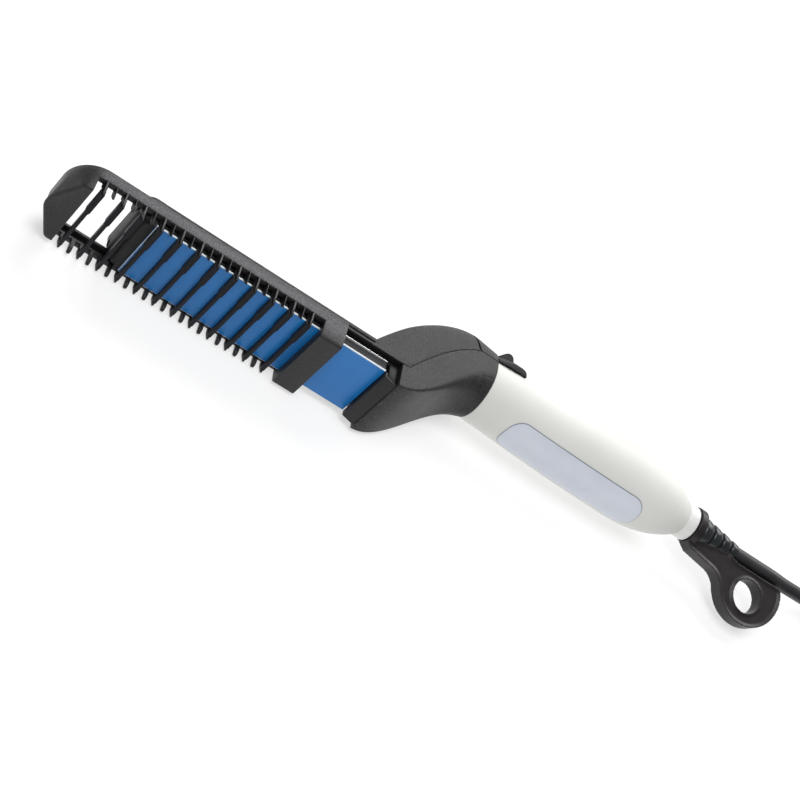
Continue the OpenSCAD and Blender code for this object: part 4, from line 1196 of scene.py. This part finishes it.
def make_boot():
    """The ribbed strain relief: a taper with four rounded rings."""
    base, end = BUTT_R - 0.5, CORD_D / MM / 2 + 0.35
    length = boot_x1 - boot_x0
    gap = length / 4.5

    def taper(s):
        return mix(base, end, s / length)

    profile = [(0.0, 0.5), (0.0, base - 0.3), (0.1, base - 0.05), (0.4, base)]
    profile += [(2.2, taper(1.6)), (2.7, taper(2) - 0.1)]
    ring = [
        (-0.25, 0.0, 0.4), (0.0, 0.0, 1.1), (0.8, 0.0, 1.15), (1.05, 0.0, 0.5), (1.35, 1.3, 0.05),
        (1.9, 1.3, 0.0), (gap - 1.2, gap - 0.9, 0.0), (gap - 0.75, gap - 0.7, 0.12),
    ]
    for s in [3.4 + i * gap for i in range(4)]:
        profile += [(s + at, taper(s + level) - drop) for at, level, drop in ring]
    profile = [p for p in profile if p[0] < length - 0.4]
    profile += [(length - 0.35, end), (length - 0.05, end - 0.15), (length, end - 0.4), (length, 0.5)]
    boot = turned("strain_boot", [(boot_x0 + s, r) for s, r in profile], 72)
    return ship(smooth(boot, 50), "swivel", "boot_rubber", "strain_relief")


LOOP_TILT = radians(25)
LOOP_FLAT = 2e-6  # area, in square metres, that only the two flat sides reach
LOOP_GRAIN = 0.0003
WORN_WIDE, WORN_DEEP = 0.0016, 0.0009


def make_loop():
    """The hanging loop: a copy of its solid, merged, with its edges worn round."""
    hold(nodes["hanging_loop"])
    bpy.ops.object.duplicate()
    loop = bpy.context.object
    for key in list(loop.keys()):
        del loop[key]
    loop.parent = None
    loop.name = loop.data.name = "cord_loop"
    bpy.ops.object.mode_set(mode="EDIT")
    bpy.ops.mesh.select_all(action="SELECT")
    bpy.ops.mesh.remove_doubles(threshold=0.000005)
    bpy.ops.mesh.dissolve_limited(angle_limit=radians(0.5))
    square_to_loop = Vector((0.0, -sin(LOOP_TILT), cos(LOOP_TILT)))
    mesh = bmesh.from_edit_mesh(loop.data)

    def pick_flats():
        for face in mesh.faces:
            flat = abs(face.normal.dot(square_to_loop)) > 0.999
            face.select = flat and face.calc_area() > LOOP_FLAT

    pick_flats()
    mesh.select_flush(False)
    pick_flats()
    bmesh.update_edit_mesh(loop.data)
    bpy.ops.mesh.inset(thickness=WORN_WIDE, depth=-WORN_DEEP, use_even_offset=False)
    bpy.ops.object.mode_set(mode="OBJECT")
    use(loop, "REMESH", mode="VOXEL", voxel_size=LOOP_GRAIN)
    use(loop, "SMOOTH", factor=0.5, iterations=7)
    hold(loop)
    bpy.ops.object.shade_smooth()
    return ship(loop, "swivel", "loop_plastic", "hanging_loop")


def back_to_head(point):
    return ((point.x - head_x) / MM, (point.z - head_y) / MM, (head_z - point.y) / MM)


def make_tie():
    """The strap that holds the coil: a flat band right round its turns on one side."""
    half_r, half_h, thick, wide, corner = 15.3, 6.25, 0.6, 6.0, 2.4
    centre_r, centre_z = 36.4, 7.02
    path = []
    for cx, cz, a0 in ((1, 1, 0), (-1, 1, 90), (-1, -1, 180), (1, -1, 270)):
        path += arc(cx * (half_r - corner), cz * (half_h - corner), corner, a0, a0 + 90, 6)
    angle = radians(135)
    out_way = Vector((cos(angle), sin(angle), 0))
    side_way = Vector((-sin(angle), cos(angle), 0))
    hub = Vector((COIL.x, COIL.y, 0))
    rings = []
    for k, (pr, pz) in enumerate(path):
        before, after = path[k - 1], path[(k + 1) % len(path)]
        tangent = Vector((after[0] - before[0], after[1] - before[1])).normalized()
        ring = []
        for side, depth in ((-wide, 0), (wide, 0), (wide, thick), (-wide, thick)):
            r = centre_r + pr + tangent.y * depth
            z = centre_z + pz - tangent.x * depth
            point = hub + out_way * (r * MM) + side_way * (side * MM) + Vector((0, 0, z * MM))
            ring.append(back_to_head(point))
        rings.append(ring)
    band = round_edges(lofted("coil_strap", rings, ring_shut=True), 0.15, 2, 50)
    return ship(band, "root", "tie_fabric", "cord_tie")


PLUG_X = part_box("plug_body")[1].x
PLUG_CORNERS = 48
PIN_APART = 0.0093  # from the middle of the plug to a pin


def plug_ring(s, half_w, half_t, power):
    """A rounded outline across the plug at distance s from the end of the cord."""
    x, y, z = lead_out[-1]
    out = []
    for k in range(PLUG_CORNERS):
        a = 2 * pi * k / PLUG_CORNERS
        c, n = cos(a), sin(a)
        w = half_w * copysign(abs(c) ** (2 / power), c)
        t = half_t * copysign(abs(n) ** (2 / power), n)
        out.append(back_to_head(Vector((PLUG_X - s * MM, y + w * MM, z + t * MM))))
    return out


def make_plug_body():
    """A ribbed relief, a waist where fingers hold it, and a flat face for the pins."""
    levels = [(0.0, 3.5, 3.5, 2), (0.4, 3.75, 3.75, 2)]
    for k in range(5):
        s, r = 1.6 + 3.1 * k, mix(3.9, 5.2, k / 4)
        for at, rise in ((0.0, 0.0), (0.3, -0.55), (1.1, -0.5), (1.4, 0.1)):
            levels.append((s + at, r + rise, r + rise, 2))
    levels += [(17.6, 5.4, 5.0, 2.2), (18.4, 6.6, 5.8, 2.6), (19.6, 8.2, 6.5, 3.0)]
    for u in [k / 14 for k in range(15)]:
        dent = 0.35 * max(0.0, sin(3 * pi * u / 0.9)) if u < 0.9 else 0.0
        wide = mix(9.1, 17.3, ease(u)) - dent
        levels.append((mix(21.0, 42.5, u), wide, 6.8 - dent, mix(3.2, 4.6, u)))
    levels += [(46.0, 17.45, 6.85, 5.0), (52.6, 17.45, 6.85, 5.0), (53.5, 17.2, 6.6, 5.0)]
    levels += [(53.9, 16.7, 6.2, 5.0), (54.0, 16.2, 5.8, 5.0)]
    body = lofted("plug_moulding", [plug_ring(*level) for level in levels])
    return ship(smooth(body, 40), "root", "plug_rubber", "plug_body")


def make_pins():
    """Two round pins with blunt ends, each in a sleeve over its first half."""
    tip, root = (place.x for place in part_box("plug_pins"))
    _, mid_y, mid_z = lead_out[-1]
    sleeve = [(root, 1.85), (root - 0.0097, 1.85), (root - 0.0100, 1.6)]
    pin = [
        (root - 0.0096, 1.5), (root - 0.0101, 1.5), (root - 0.0102, 1.9), (root - 0.0104, 2.0),
        (tip + 0.0018, 2.0), (tip + 0.0009, 1.8), (tip + 0.0003, 1.25), (tip, 0.5),
    ]

    def drawn(name, y, stations):
        rings = []
        for x, r in stations:
            rim = circle(y, mid_z, r * MM, 24)
            rings.append([back_to_head(Vector((x, side, up))) for side, up in rim])
        return lofted(name, rings)

    pins, sleeves = [], []
    for y in (mid_y - PIN_APART, mid_y + PIN_APART):
        sleeves.append(drawn("sleeve", y, sleeve))
        pins.append(drawn("pin", y, pin))
    pair = smooth(joined("plug_pin_pair", pins), 50)
    collars = smooth(joined("plug_pin_sleeves", sleeves), 50)
    ship(pair, "root", "pin_nickel", "plug_pins")
    return pair, ship(collars, "root", "plug_rubber")


make_comb_frame()
make_ribs()
make_teeth()
make_plate()
make_carrier()
make_nose()
make_screws()
make_root()
make_neck_front()
make_neck_back()
make_web()
make_handle()
make_label()
make_butt()
make_saddle()
make_knob()
make_boot()
make_loop()
strap = make_tie()
plug = make_plug_body()
pins, pin_sleeves = make_pins()

# ---- nodes that keep their shape

for entry in frame["record"]["subparts"]:
    if entry["node"] in nodes:
        coat_node(nodes[entry["node"]], entry["material_slot"])

# ---- stage and light

FLOOR_SIZE = 30.0
PAPER_GLOW = 0.60
SKY_STRENGTH = 0.21
TOOL_MIDDLE = Vector((0.02, 0.0, 0.0))


def set_stage():
    """A pale floor that runs out of sight, so that nothing else shows."""
    pick_none()
    bpy.ops.mesh.primitive_plane_add(size=FLOOR_SIZE, location=(0.0, 0.0, 0.0))
    floor = bpy.context.object
    floor.name = floor.data.name = "floor"
    paper = Finish("floor_paper")
    paper.finish(paper.blend(paper.noise(9, 3), (0.45,) * 3, (0.47,) * 3), 0.9, specular=0.0)
    paper.put(paper.shader, "Emission Color", (1.0, 1.0, 1.0, 1.0))
    paper.put(paper.shader, "Emission Strength", PAPER_GLOW)
    floor.data.materials.append(paper.material)


def add_light(name, at, size, power):
    """A soft box at a place, turned to the middle of the tool."""
    data = bpy.data.lights.new(name, "AREA")
    data.shape = "RECTANGLE"
    data.size, data.size_y = size
    data.energy = power
    light = bpy.data.objects.new(name, data)
    bpy.context.scene.collection.objects.link(light)
    aim = (TOOL_MIDDLE - Vector(at)).to_track_quat("-Z", "Y")
    light.matrix_world = Matrix.Translation(at) @ aim.to_matrix().to_4x4()


def set_light():
    """One soft box overhead in front and a broad one behind, with a little light from all round."""
    world = bpy.data.worlds.new("studio")
    world.use_nodes = True
    sky = world.node_tree.nodes["Background"].inputs
    sky["Color"].default_value = (1.0, 1.0, 1.0, 1.0)
    sky["Strength"].default_value = SKY_STRENGTH
    bpy.context.scene.world = world
    add_light("overhead", (-0.1, -0.3, 1.3), (0.9, 0.9), 11.5)
    add_light("behind", (0.45, 1.15, 1.0), (1.9, 1.0), 26.0)
    bpy.context.scene.view_settings.view_transform = "Standard"


set_stage()
set_light()
